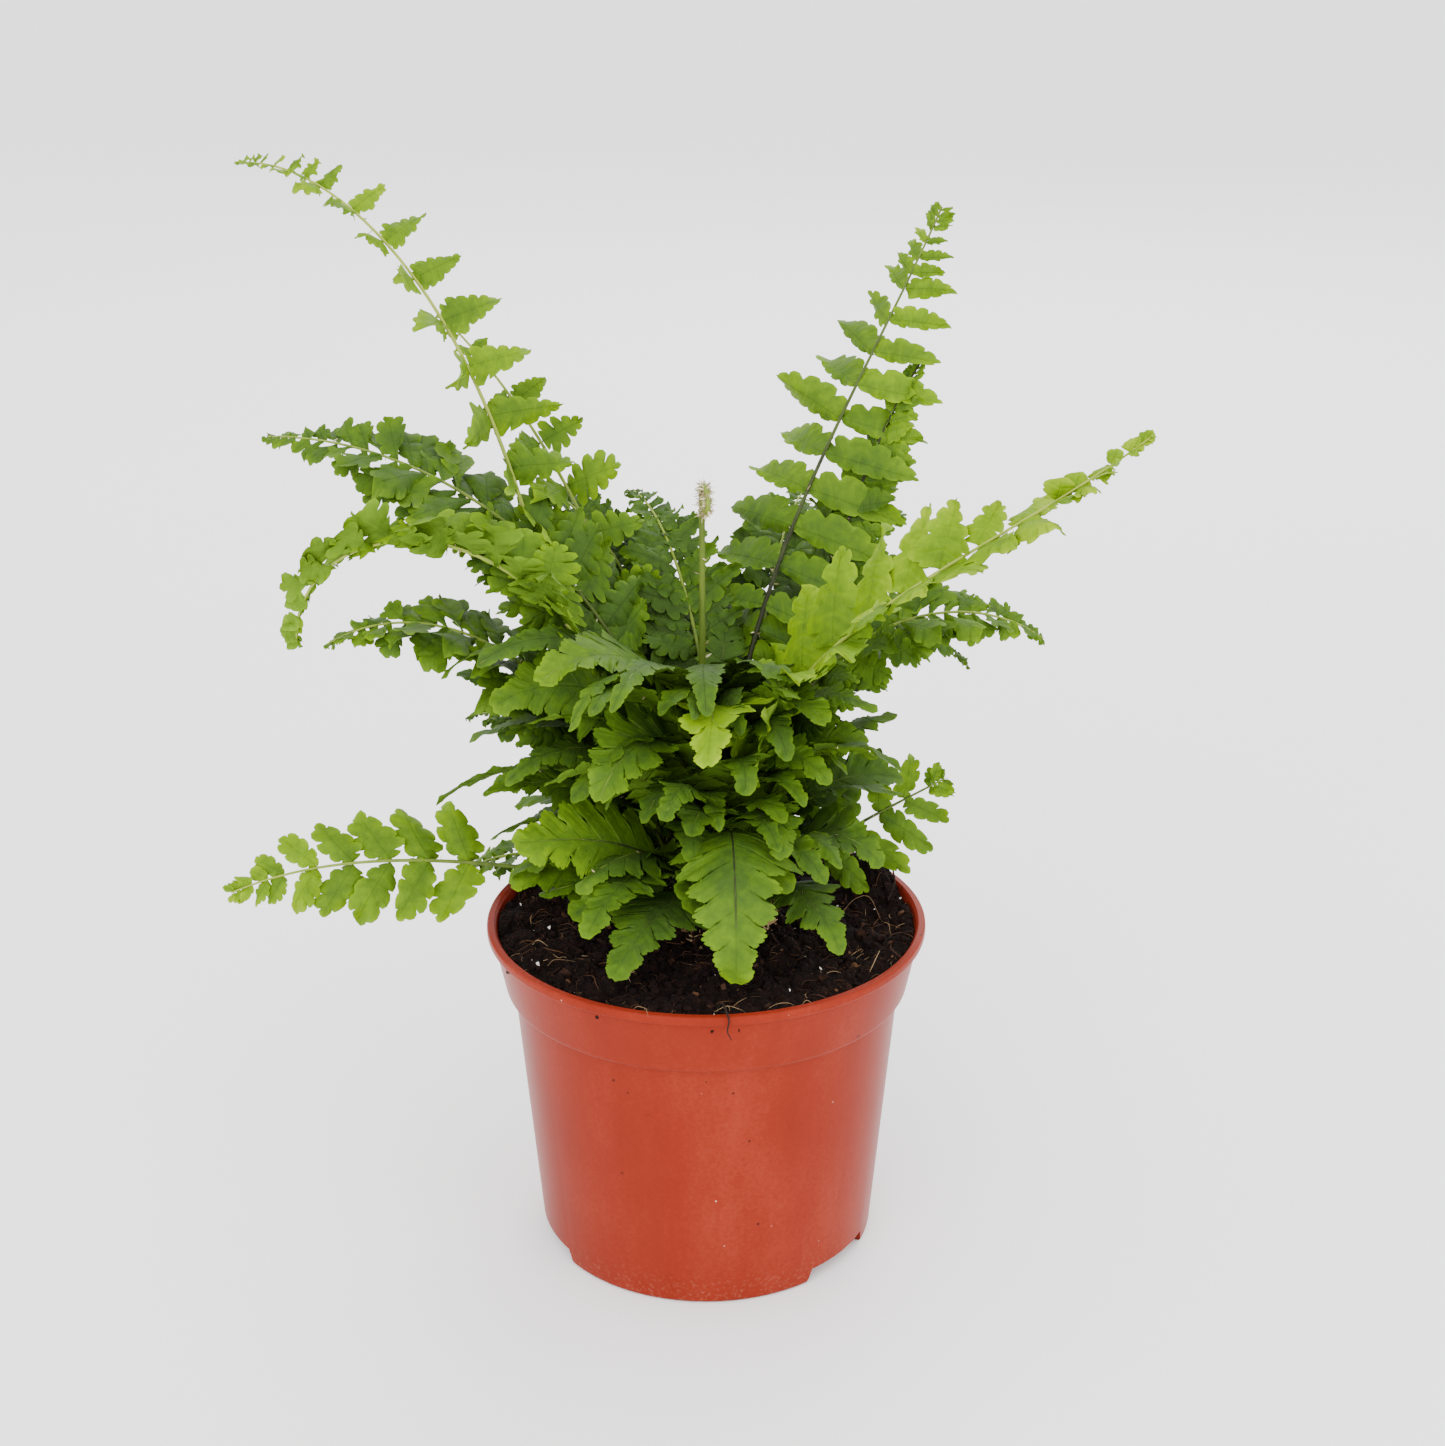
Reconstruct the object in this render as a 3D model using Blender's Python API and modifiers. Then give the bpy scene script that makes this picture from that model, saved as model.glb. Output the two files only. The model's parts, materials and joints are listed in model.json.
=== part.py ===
"""Potted wood fern: a nursery pot of compost with a crown, arching fronds and a fiddlehead.

Metres, +Z up. The origin is the middle of the pot's flat underside, where it stands.
The photographed front of the pot faces -Y.
"""
import math

import bmesh
import bpy
import numpy as np
from mathutils import Matrix, Vector
from mathutils.bvhtree import BVHTree

MM = 0.001
GAP = 0.3 * MM

# Pot: 12 cm nursery pot of thin moulded plastic
POT_HEIGHT = 94 * MM
LIP_RADIUS = 60 * MM
LIP_HEIGHT = 2.4 * MM
BAND_TOP_RADIUS = 58.4 * MM
BAND_HEIGHT = 18 * MM
BAND_FOOT_RADIUS = 55.3 * MM
BODY_TOP_RADIUS = 53.0 * MM
FOOT_RADIUS = 46.5 * MM
FOOT_ROUNDING = 1.5 * MM
WALL = 1.4 * MM
LIP_WIDTH = 2.6 * MM
FLOOR = 1.4 * MM
ROUND_STEPS = 32

# Raised drainage pockets in the foot
POCKET_ANGLES = (-38, -159, 82)
POCKET_HEIGHT = 4.5 * MM
POCKET_DEPTH = 11 * MM
POCKET_WIDTH = 23 * MM
POCKET_FLARE = 3 * MM
DRAIN_RADIUS = 3 * MM

# Compost
SOIL_LEVEL = 90 * MM
SOIL_EDGE_DROP = 1.0 * MM
SOIL_MOUND = 1.0 * MM
SOIL_RINGS = 5
CLUMP_PLACE = (45 * MM, 25 * MM)
CLUMP_HEIGHT = 9 * MM
CLUMP_SPREAD = 9 * MM

# Crown, the short rhizome that the stipes rise from
CROWN_PLACE = (2 * MM, 5 * MM)
CROWN_RADIUS = 17 * MM
CROWN_TOP = 2.5 * MM
CROWN_DEPTH = 9 * MM
CROWN_STEPS = 18
SEAT_RADII = (3.4 * MM, 8.2 * MM, 13.2 * MM)
SEAT_FLOOR = 3 * MM
SEAT_COLLAR = 0.6 * MM
HOLE_SIDES = 4

# Fronds
STIPE_BEND = 9 * MM
STIPE_RADIUS = 1.15 * MM
STIPE_TIP_RADIUS = 0.6 * MM
STIPE_STRIDE = 22 * MM
STIPE_LAP = 2.5 * MM
AXIS_STEPS = 60
BLADE_THICKNESS = 0.7 * MM
RIB_HALF_WIDTH = 0.75 * MM
GROWN_BASE = 0.14
YOUNG_BASE = 0.50
SMALL_LEAFLET = 16 * MM
MIDDLE_LEAFLET = 22 * MM

# How leaflets stand along a blade, for a grown and for a young frond
GROWN_CROWDING = 0.16
GROWN_FIRST = 0.30
YOUNG_FIRST = 0.48
GROWN_SHARES = ((0, 0.12, 0.3, 0.6, 0.85, 1), (0.72, 0.93, 1, 0.78, 0.36, 0.12))
YOUNG_SHARES = ((0, 0.15, 0.35, 0.8, 1), (0.7, 0.95, 1, 0.55, 0.25))
GROWN_CLOSING = 36
YOUNG_CLOSING = 30
GROWN_WIDTH = 0.84
WIDEST_LEAFLET = 0.72
LEAFLET_DROOP = 0.10

# Leaflet outlines: share of length, then the half widths towards the tip and towards the base
TOOTHED = ((0.14, 0.50, 0.42), (0.34, 0.32, 0.28), (0.52, 0.40, 0.36), (0.76, 0.20, 0.18))
TOOTHED_MIDDLE = ((0.16, 0.50, 0.42), (0.42, 0.32, 0.28), (0.64, 0.32, 0.28))
TOOTHED_SMALL = ((0.22, 0.48, 0.42), (0.60, 0.30, 0.27))
LOBED = ((0.42, 0.48, 0.46), (0.84, 0.36, 0.34))

# One row for each frond: name, azimuth and ring of its seat, length, bare share of the stipe,
# lean at the foot, halfway and at the tip, swing of the azimuth, roll of the blade,
# longest leaflet, pairs of leaflets, spread of the first pair, lift of each side, form.
# Lengths in mm, angles in degrees.
FROND_COLUMNS = ("name", "azimuth", "ring", "length", "bare", "lean_foot", "lean_half", "lean_tip",
                 "swing", "roll", "leaflet", "pairs", "spread", "lift_right", "lift_left", "form")
FROND_ROWS = (
    ("frond_tall_left", 169, 1, 255, 0.38, 46, 19, 98, -29, -45, 18, 12, 114, 0, 70, "grown"),
    ("frond_left_inner", 148, 1, 180, 0.48, 16, 26, 55, 0, -45, 17, 7, 108, 0, 60, "grown"),
    ("frond_tall_right", 52, 1, 201, 0.40, -6, 28, 25, -32, 5, 23, 12, 98, -25, 5, "grown"),
    ("frond_right_inner", 36, 1, 158, 0.52, 32, 18, 42, 0, 0, 16, 7, 78, 10, 10, "grown"),
    ("frond_right_long", -42, 1, 189, 0.32, -15, 45, 51, 42, 60, 23, 11, 66, 70, 0, "grown"),
    ("frond_right_far", 15, 2, 138, 0.38, -10, 43, 128, -10, 10, 18, 7, 78, 10, 10, "grown"),
    ("frond_left_dark", 173, 1, 193, 0.36, -4, 40, 95, -10, 0, 21, 9, 80, 10, -10, "grown"),
    ("frond_left_pale", -165, 1, 187, 0.36, 30, 37, 181, -29, 20, 20, 9, 78, 40, 40, "grown"),
    ("frond_left_low", -174, 2, 137, 0.40, 28, 37, 122, 0, 0, 18, 7, 78, 10, 10, "grown"),
    ("frond_left_lowest", 185, 2, 125, 0.36, 84, 83, 111, 5, -50, 13, 8, 74, 0, 0, "grown"),
    ("frond_right_low", 8, 2, 64, 0.36, 44, 61, 67, 7, 50, 13, 5, 78, 0, 0, "grown"),
    ("frond_back_tall", 112, 0, 134, 0.40, 6, 26, 92, 0, 0, 21, 7, 78, 10, 10, "grown"),
    ("frond_back_left", 128, 2, 142, 0.38, 10, 34, 92, 0, 0, 21, 7, 78, 10, 10, "grown"),
    ("frond_back_right", 76, 2, 142, 0.38, 14, 40, 95, 0, 0, 21, 7, 78, 10, 10, "grown"),
    ("frond_back_low", 104, 2, 112, 0.36, 36, 60, 105, 0, 0, 19, 6, 78, 10, 10, "grown"),
    ("frond_back_low_left", 152, 2, 92, 0.36, 34, 58, 112, 0, 0, 18, 5, 78, 10, 10, "grown"),
    ("frond_back_low_right", 48, 2, 122, 0.36, 20, 49, 148, -22, 0, 18, 6, 78, 10, 10, "grown"),
    ("frond_left_hanging", 164, 2, 78, 0.45, 84, 92, 140, 0, 0, 10, 4, 78, 10, 10, "grown"),
    ("young_middle_left", -140, 0, 116, 0.50, 0, 24, 116, 0, -25, 15, 6, 70, 5, 5, "young"),
    ("young_middle_front", -95, 0, 106, 0.56, -4, 28, 136, 0, 0, 17, 5, 70, 5, 5, "young"),
    ("young_left_wide", -160, 2, 108, 0.52, -12, 28, 118, 0, -45, 12, 6, 76, 0, 0, "young"),
    ("young_left_short", -174, 2, 72, 0.42, 4, 44, 118, 0, -30, 11, 5, 74, 0, 0, "young"),
    ("young_front_hanging", -88, 2, 94, 0.42, -22, 80, 206, 0, 0, 15, 6, 78, 0, 0, "young"),
    ("young_front_left", -116, 2, 62, 0.34, 10, 86, 124, -8, 0, 13, 5, 72, 0, 0, "young"),
    ("young_left_flat", -150, 2, 70, 0.38, 4, 60, 84, 0, -45, 13, 5, 74, 0, 0, "young"),
    ("young_left_flat_low", -166, 2, 52, 0.42, 38, 70, 114, 0, -30, 11, 4, 72, 0, 0, "young"),
    ("young_front_right", -60, 2, 54, 0.36, 26, 78, 140, 0, 10, 11, 4, 70, 0, 0, "young"),
    ("young_middle_right", -50, 1, 96, 0.52, 0, 18, 114, 0, 10, 15, 5, 70, 5, 5, "young"),
    ("young_right_low", -26, 2, 54, 0.40, 6, 52, 144, 0, 20, 13, 4, 72, 0, 0, "young"),
    ("young_inner_left", -122, 1, 96, 0.50, 0, 32, 142, 0, -10, 16, 5, 70, 5, 5, "young"),
    ("young_inner_right", -14, 1, 70, 0.42, 0, 24, 102, 0, 30, 14, 5, 74, 5, 5, "young"),
    ("young_low_front", -72, 2, 66, 0.44, -10, 34, 144, 0, 5, 14, 4, 70, 0, 0, "young"),
)

# How a leaflet that would cross a neighbour is bent and shortened until it is clear
BEND_TRIES = (0, 15, -15, 30, -30, 50, -50, 70)
SIZE_TRIES = (1.0, 0.8, 0.6, 0.45)
CLEARANCE = 0.35 * MM

# Fiddlehead
FIDDLE_HEIGHT = 116 * MM
FIDDLE_RADIUS = 1.3 * MM
FIDDLE_TURNS = 1.6
FIDDLE_STEPS = 10
FIDDLE_COIL_RADIUS = 4.4 * MM
FIDDLE_AZIMUTH = 172
FIDDLE_FACING = -78

MODEL = "potted_wood_fern"


def clear_scene():
    for item in list(bpy.data.objects):
        bpy.data.objects.remove(item, do_unlink=True)


def new_collection(name):
    found = bpy.data.collections.new(name)
    bpy.context.scene.collection.children.link(found)
    return found


def new_material(name, colour, roughness):
    material = bpy.data.materials.new(name)
    material.use_nodes = True
    shader = material.node_tree.nodes["Principled BSDF"]
    shader.inputs["Base Color"].default_value = (*colour, 1)
    shader.inputs["Roughness"].default_value = roughness
    shader.inputs["Metallic"].default_value = 0.0
    material.diffuse_color = (*colour, 1)
    return material


def add_object(name, mesh, collection, material=None):
    item = bpy.data.objects.new(name, mesh)
    collection.objects.link(item)
    if material:
        mesh.materials.clear()
        mesh.materials.append(material)
    return item


def hide_cutter(item):
    item.hide_render = True
    item.display_type = "WIRE"
    return item


def evaluated_mesh(item):
    """The object's mesh with its modifiers applied and its caps welded."""
    bpy.context.view_layer.update()
    source = item.evaluated_get(bpy.context.evaluated_depsgraph_get())
    mesh = bpy.data.meshes.new_from_object(source)
    mesh.transform(item.matrix_world)
    work = bmesh.new()
    work.from_mesh(mesh)
    bmesh.ops.remove_doubles(work, verts=work.verts, dist=0.002 * MM)
    work.to_mesh(mesh)
    work.free()
    return mesh


def apply_boolean(item, operation, other=None, collection=None):
    """Adds a Boolean modifier, keeps its result as the object's mesh and returns the object."""
    cut = item.modifiers.new("cut", "BOOLEAN")
    cut.operation = operation
    cut.solver = "EXACT"
    if collection:
        cut.operand_type = "COLLECTION"
        cut.collection = collection
    else:
        cut.object = other
    mesh = evaluated_mesh(item)
    if not mesh.polygons:
        bpy.data.meshes.remove(mesh)
        cut.solver = "MANIFOLD"
        mesh = evaluated_mesh(item)
    item.modifiers.remove(cut)
    old = item.data
    item.matrix_world = Matrix.Identity(4)
    item.data = mesh
    bpy.data.meshes.remove(old)
    return item


def turned(name, profile, collection, steps=ROUND_STEPS, place=(0, 0)):
    """A closed solid of revolution from a profile that runs down its outer side."""
    mesh = bpy.data.meshes.new(name)
    points = [(radius, 0, height) for radius, height in profile]
    mesh.from_pydata(points, [(k, k + 1) for k in range(len(points) - 1)], [])
    item = add_object(name, mesh, collection)
    item.location = (*place, 0)
    screw = item.modifiers.new("turn", "SCREW")
    screw.angle = math.tau
    screw.steps = steps
    screw.render_steps = steps
    screw.use_merge_vertices = True
    screw.merge_threshold = 0.00001
    screw.use_normal_calculate = True
    mesh = evaluated_mesh(item)
    item.modifiers.clear()
    item.location = (0, 0, 0)
    item.data = mesh
    return item


# Pot


def pot_outer_profile():
    top = POT_HEIGHT
    return [(0, top), (LIP_RADIUS - 0.6 * MM, top), (LIP_RADIUS, top - 0.6 * MM),
            (LIP_RADIUS, top - LIP_HEIGHT), (BAND_TOP_RADIUS, top - LIP_HEIGHT - 0.5 * MM),
            (BAND_FOOT_RADIUS, top - BAND_HEIGHT), (BODY_TOP_RADIUS, top - BAND_HEIGHT - 1.2 * MM),
            (FOOT_RADIUS, FOOT_ROUNDING), (FOOT_RADIUS - FOOT_ROUNDING, 0), (0, 0)]


def inner_radius(height):
    """Radius of the pot's inner wall at a height."""
    step_low = POT_HEIGHT - BAND_HEIGHT - 2 * MM
    step_high = POT_HEIGHT - BAND_HEIGHT + 1 * MM
    heights = [FLOOR, step_low, step_high, POT_HEIGHT]
    radii = [FOOT_RADIUS - WALL, BODY_TOP_RADIUS - WALL - 0.2 * MM, BAND_FOOT_RADIUS - WALL,
             LIP_RADIUS - LIP_WIDTH]
    return float(np.interp(height, heights, radii))


def cavity_profile(shrink, top, bottom):
    """Profile of the pot's hollow, drawn in by shrink, between two heights."""
    step_low = POT_HEIGHT - BAND_HEIGHT - 2 * MM
    step_high = POT_HEIGHT - BAND_HEIGHT + 1 * MM
    heights = [top, step_high, step_low, bottom]
    if top > POT_HEIGHT:
        heights.insert(1, POT_HEIGHT)
    outer = [(inner_radius(min(height, POT_HEIGHT)) - shrink, height) for height in heights]
    return [(0, top)] + outer + [(0, bottom)]


def pocket_block(name, angle, grow, collection):
    """The block that a drainage pocket takes up, wider towards the bottom."""
    work = bmesh.new()
    bmesh.ops.create_cube(work, size=1)
    low = -4 * MM
    high = POCKET_HEIGHT + grow
    inner = FOOT_RADIUS - POCKET_DEPTH - grow
    outer = FOOT_RADIUS + 8 * MM
    for corner in work.verts:
        up = corner.co.z > 0
        radial = outer if corner.co.x > 0 else inner
        half = POCKET_WIDTH / 2 + grow + (0 if up else POCKET_FLARE)
        side = math.copysign(half, corner.co.y)
        corner.co = Vector((radial, side, high if up else low))
    work.transform(Matrix.Rotation(math.radians(angle), 4, "Z"))
    mesh = bpy.data.meshes.new(name)
    work.to_mesh(mesh)
    work.free()
    return hide_cutter(add_object(name, mesh, collection))


def drain_hole(name, angle, collection):
    work = bmesh.new()
    bmesh.ops.create_cone(work, cap_ends=True, segments=10, radius1=DRAIN_RADIUS,
                          radius2=DRAIN_RADIUS, depth=20 * MM)
    reach = FOOT_RADIUS - POCKET_DEPTH / 2 - 1 * MM
    turn = Matrix.Rotation(math.radians(angle), 4, "Z")
    work.transform(turn @ Matrix.Translation((reach, 0, 0)))
    mesh = bpy.data.meshes.new(name)
    work.to_mesh(mesh)
    work.free()
    return hide_cutter(add_object(name, mesh, collection))


def make_pot(parts, cutters, material):
    pot = turned("pot", pot_outer_profile(), parts)
    pot.data.materials.append(material)
    hollow = hide_cutter(turned("cut_hollow", cavity_profile(0, POT_HEIGHT + 5 * MM, FLOOR), cutters))
    for number, angle in enumerate(POCKET_ANGLES):
        apply_boolean(hollow, "DIFFERENCE", pocket_block(f"keep_roof_{number}", angle, FLOOR, cutters))
    apply_boolean(pot, "DIFFERENCE", hollow)
    for number, angle in enumerate(POCKET_ANGLES):
        apply_boolean(pot, "DIFFERENCE", pocket_block(f"cut_pocket_{number}", angle, 0, cutters))
        apply_boolean(pot, "DIFFERENCE", drain_hole(f"cut_drain_{number}", angle, cutters))
    pot.data.shade_smooth()
    pot.data.set_sharp_from_angle(angle=math.radians(30))
    return pot


# Compost and crown


def soil_height(x, y):
    """Height of the compost's top: low at the edge, mounded, lumpy, with a clump at the back."""
    reach = math.hypot(x, y) / inner_radius(SOIL_LEVEL)
    lumps = (math.sin(x * 210 + 1.3) * math.cos(y * 190 - 0.6) + 0.6 * math.sin(x * 410 - y * 350))
    clump = math.hypot(x - CLUMP_PLACE[0], y - CLUMP_PLACE[1]) / CLUMP_SPREAD
    crown = math.hypot(x - CROWN_PLACE[0], y - CROWN_PLACE[1])
    level = SOIL_LEVEL - SOIL_EDGE_DROP * reach ** 4 + SOIL_MOUND * (1 - reach ** 2)
    level += 0.9 * MM * lumps * min(1, max(0, (crown - CROWN_RADIUS) / (12 * MM)))
    return level + CLUMP_HEIGHT * math.exp(-clump ** 2)


def crown_surface(reach):
    """Height of the crown's domed top at a distance from its axis."""
    return SOIL_LEVEL + SOIL_MOUND + CROWN_TOP * math.sqrt(max(0, 1 - (reach / CROWN_RADIUS) ** 2))


def seat_bottom():
    """Height where the stipes' feet stand inside the crown."""
    return SOIL_LEVEL + SOIL_MOUND - CROWN_DEPTH + SEAT_FLOOR


def crown_profile(grow):
    """Profile of the crown: domed top, straight side, narrower underside."""
    rise = SOIL_LEVEL + SOIL_MOUND
    radius = CROWN_RADIUS + grow
    dome = [(radius * math.sin(t), rise + (CROWN_TOP + grow) * math.cos(t))
            for t in (0.45, 0.9, 1.25)]
    return ([(0, rise + CROWN_TOP + grow)] + dome
            + [(radius, rise - 1 * MM), (radius * 0.85, rise - CROWN_DEPTH - grow),
               (0, rise - CROWN_DEPTH - grow)])


def make_soil(parts, cutters, material):
    top = SOIL_LEVEL
    wall = inner_radius(top) - GAP
    profile = cavity_profile(GAP, top, FLOOR + GAP)
    rings = [(wall * k / SOIL_RINGS, top) for k in range(1, SOIL_RINGS)]
    soil = turned("soil", profile[:1] + rings + profile[1:], parts)
    for corner in soil.data.vertices:
        if corner.co.z > top - 0.01 * MM:
            reach = math.hypot(corner.co.x, corner.co.y)
            corner.co.z = soil_height(corner.co.x, corner.co.y)
            if reach > wall - 0.01 * MM:
                fit = (inner_radius(min(corner.co.z, top)) - GAP) / reach
                corner.co.x *= fit
                corner.co.y *= fit
    for number, angle in enumerate(POCKET_ANGLES):
        apply_boolean(soil, "DIFFERENCE",
                      pocket_block(f"clear_roof_{number}", angle, FLOOR + GAP, cutters))
    recess = hide_cutter(turned("cut_recess", crown_profile(GAP), cutters, CROWN_STEPS, CROWN_PLACE))
    apply_boolean(soil, "DIFFERENCE", recess)
    soil.data.materials.clear()
    soil.data.materials.append(material)
    return soil


def make_crown(parts, cutters, material, seats):
    crown = turned("crown", crown_profile(0), parts, CROWN_STEPS, CROWN_PLACE)
    holes = new_collection("crown_holes")
    for number, (x, y) in enumerate(seats):
        work = bmesh.new()
        radius = STIPE_RADIUS + GAP
        if number == len(seats) - 1:
            radius = FIDDLE_RADIUS + GAP
        depth = 30 * MM
        radius /= math.cos(math.pi / HOLE_SIDES)
        bmesh.ops.create_cone(work, cap_ends=True, segments=HOLE_SIDES, radius1=radius,
                              radius2=radius, depth=depth)
        low = seat_bottom() - GAP
        work.transform(Matrix.Translation((x, y, low + depth / 2)))
        mesh = bpy.data.meshes.new("hole")
        work.to_mesh(mesh)
        work.free()
        add_object(f"hole_{number}", mesh, holes)
    apply_boolean(crown, "DIFFERENCE", collection=holes)
    for item in list(holes.objects):
        bpy.data.objects.remove(item, do_unlink=True)
    bpy.data.collections.remove(holes)
    crown.data.materials.clear()
    crown.data.materials.append(material)
    return crown


# Frond form


def unit(vector):
    return vector / np.linalg.norm(vector)


def frond_seats(rows):
    """Seats on the crown: even steps round each ring, in the order of the azimuths."""
    seats = {}
    for ring, radius in enumerate(SEAT_RADII):
        members = sorted((row["azimuth"] % 360, row["name"]) for row in rows if row["ring"] == ring)
        step = 360 / len(members)
        offsets = [azimuth - step * k for k, (azimuth, name) in enumerate(members)]
        start = sum(offsets) / len(offsets)
        for k, (azimuth, name) in enumerate(members):
            angle = math.radians(start + step * k)
            seats[name] = (CROWN_PLACE[0] + radius * math.cos(angle),
                           CROWN_PLACE[1] + radius * math.sin(angle))
    return seats


def upright_length(seat):
    """How much of a stipe stands straight up in its hole."""
    reach = math.hypot(seat[0] - CROWN_PLACE[0], seat[1] - CROWN_PLACE[1])
    return crown_surface(reach) + SEAT_COLLAR - seat_bottom()


def frond_axis(row, seat):
    """Points and directions along a frond, from the foot of its stipe to its tip."""
    length = row["length"] * MM
    upright = upright_length(seat)
    step = (upright + length) / AXIS_STEPS
    points = [np.array([seat[0], seat[1], seat_bottom()])]
    directions = []
    for k in range(AXIS_STEPS + 1):
        run = (k + 0.5) * step - upright
        s = min(max(run / length, 0), 1)
        turn = min(max(run / STIPE_BEND, 0), 1)
        turn = turn * turn * (3 - 2 * turn)
        lean = (row["lean_foot"] * (1 - s) * (1 - 2 * s) + row["lean_half"] * 4 * s * (1 - s)
                + row["lean_tip"] * s * (2 * s - 1))
        lean = math.radians(lean) * turn
        azimuth = math.radians(row["azimuth"] + row["swing"] * s ** 1.5)
        directions.append(np.array([math.sin(lean) * math.cos(azimuth),
                                    math.sin(lean) * math.sin(azimuth), math.cos(lean)]))
        if k < AXIS_STEPS:
            points.append(points[-1] + directions[-1] * step)
    return np.array(points), np.array(directions), upright


def frame_at(row, axis, share):
    """Point, direction, upper side and right side at a share of the blade's length."""
    points, directions, upright = axis
    length = row["length"] * MM
    run = length * (row["bare"] + (1 - row["bare"]) * share)
    place = (upright + run) / (upright + length) * (len(points) - 1)
    k = int(min(max(math.floor(place), 0), len(points) - 2))
    part = place - k
    point = points[k] * (1 - part) + points[k + 1] * part
    along = unit(directions[k] * (1 - part) + directions[k + 1] * part)
    lean = math.acos(min(max(along[2], -1), 1))
    azimuth = math.radians(row["azimuth"] + row["swing"] * (run / length) ** 1.5)
    upper = np.array([-math.cos(lean) * math.cos(azimuth), -math.cos(lean) * math.sin(azimuth),
                      math.sin(lean)])
    upper = unit(upper - upper.dot(along) * along)
    right = np.cross(along, upper)
    roll = math.radians(row["roll"])
    upper = upper * math.cos(roll) + right * math.sin(roll)
    return point, along, upper, np.cross(along, upper)


def pair_shares(row):
    """Where the pairs of leaflets stand along the blade, closer together towards the tip."""
    if row["form"] == "young":
        return [(k + YOUNG_FIRST) / row["pairs"] for k in range(row["pairs"])]
    shares = [(k + GROWN_FIRST) / row["pairs"] for k in range(row["pairs"])]
    return [x + GROWN_CROWDING * x * (1 - x) for x in shares]


def leaflet_share(row, share):
    """Length of a leaflet at a share of the blade, against the longest."""
    places, shares = YOUNG_SHARES if row["form"] == "young" else GROWN_SHARES
    return float(np.interp(share, places, shares))


def leaflet_sites(row, axis):
    """Every leaflet of a frond: its pair, side, lengths and directions."""
    shares = pair_shares(row)
    blade = row["length"] * MM * (1 - row["bare"])
    young = row["form"] == "young"
    sites = []
    for k, share in enumerate(shares):
        after = shares[k + 1] if k + 1 < len(shares) else 2 * share - shares[k - 1]
        room = (after - share) * blade
        length = row["leaflet"] * MM * leaflet_share(row, share)
        width = min(room * (1.0 if young else GROWN_WIDTH), length * WIDEST_LEAFLET)
        point, along, upper, right = frame_at(row, axis, share)
        closing = YOUNG_CLOSING if young else GROWN_CLOSING
        angle = math.radians(row["spread"] - closing * share)
        for side, lift in ((1, row["lift_right"]), (-1, row["lift_left"])):
            sites.append(dict(pair=k, side=side, share=share, room=room, length=length,
                              width=width, point=point, along=along, upper=upper,
                              right=right, angle=angle, lift=lift, form=row["form"]))
    return sites


def leaflet_directions(site, bend):
    """Direction of the leaflet's rib, of its width towards the tip, and of its upper face."""
    lift = math.radians(site["lift"] + bend)
    out = site["side"] * site["right"]
    out_lifted = math.cos(lift) * out + math.sin(lift) * site["upper"]
    rib = math.cos(site["angle"]) * site["along"] + math.sin(site["angle"]) * out_lifted
    face = math.cos(lift) * site["upper"] - math.sin(lift) * out
    face = unit(face - face.dot(rib) * rib)
    across = unit(site["along"] - site["along"].dot(rib) * rib)
    across = unit(across - across.dot(face) * face)
    return rib, across, face


def leaflet_points(site, bend, size):
    """Outline points of a leaflet as pairs across its rib, then its tip."""
    rib, across, face = leaflet_directions(site, bend)
    length = site["length"] * size
    width = site["width"] * (0.5 + 0.5 * size)
    base = site["point"] + site["side"] * site["right"] * RIB_HALF_WIDTH
    if site["form"] == "young":
        outline = LOBED
    elif length > MIDDLE_LEAFLET:
        outline = TOOTHED
    else:
        outline = TOOTHED_MIDDLE if length > SMALL_LEAFLET else TOOTHED_SMALL
    droop = LEAFLET_DROOP * length
    half = site["room"] * (YOUNG_BASE if site["form"] == "young" else GROWN_BASE)
    pairs = [(base - site["along"] * half, base + site["along"] * half)]
    for share, near, far in outline:
        middle = base + rib * length * share - face * droop * share ** 2
        pairs.append((middle - across * width * far, middle + across * width * near))
    return pairs, base + rib * length - face * droop, face


def leaflet_plate(pairs, tip, face, thick):
    """Closed test plate round a leaflet, for finding what it would cross."""
    rim = [low for low, high in pairs] + [tip] + [high for low, high in reversed(pairs)]
    count = len(rim)
    corners = [Vector(point + face * thick) for point in rim]
    corners += [Vector(point - face * thick) for point in rim]
    faces = []
    for k in range(len(pairs) - 1):
        a, b, c, d = k, k + 1, count - 2 - k, count - 1 - k
        faces += [(a, b, c), (a, c, d)]
    last = len(pairs) - 1
    faces.append((last, last + 1, last + 2))
    faces += [tuple(k + count for k in reversed(corner)) for corner in list(faces)]
    for k in range(count):
        after = (k + 1) % count
        faces += [(k, after, after + count), (k, after + count, k + count)]
    return corners, faces


def tube_triangles(points, radius):
    """A three-sided tube along points, for finding what would cross a stipe or rib."""
    corners = []
    faces = []
    for k, point in enumerate(points):
        ahead = points[min(k + 1, len(points) - 1)] - points[max(k - 1, 0)]
        ahead = unit(ahead)
        side = unit(np.cross(ahead, (0.3, 0.9, 0.2)))
        other = np.cross(ahead, side)
        for turn in range(3):
            angle = math.tau * turn / 3
            corners.append(Vector(point + radius * (side * math.cos(angle) + other * math.sin(angle))))
        if k:
            for turn in range(3):
                a = 3 * (k - 1) + turn
                b = 3 * (k - 1) + (turn + 1) % 3
                faces += [(a, b, b + 3), (a, b + 3, a + 3)]
    return corners, faces


class Obstacles:
    """What is already in place, kept as triangles."""

    def __init__(self):
        self.corners = []
        self.faces = []
        self.tree = None

    def add(self, corners, faces):
        start = len(self.corners)
        self.corners += list(corners)
        self.faces += [tuple(k + start for k in face) for face in faces]
        self.tree = None

    def meets(self, tree):
        if not self.faces:
            return False
        if self.tree is None:
            self.tree = BVHTree.FromPolygons(self.corners, self.faces, epsilon=0.0)
        return bool(self.tree.overlap(tree))


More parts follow.
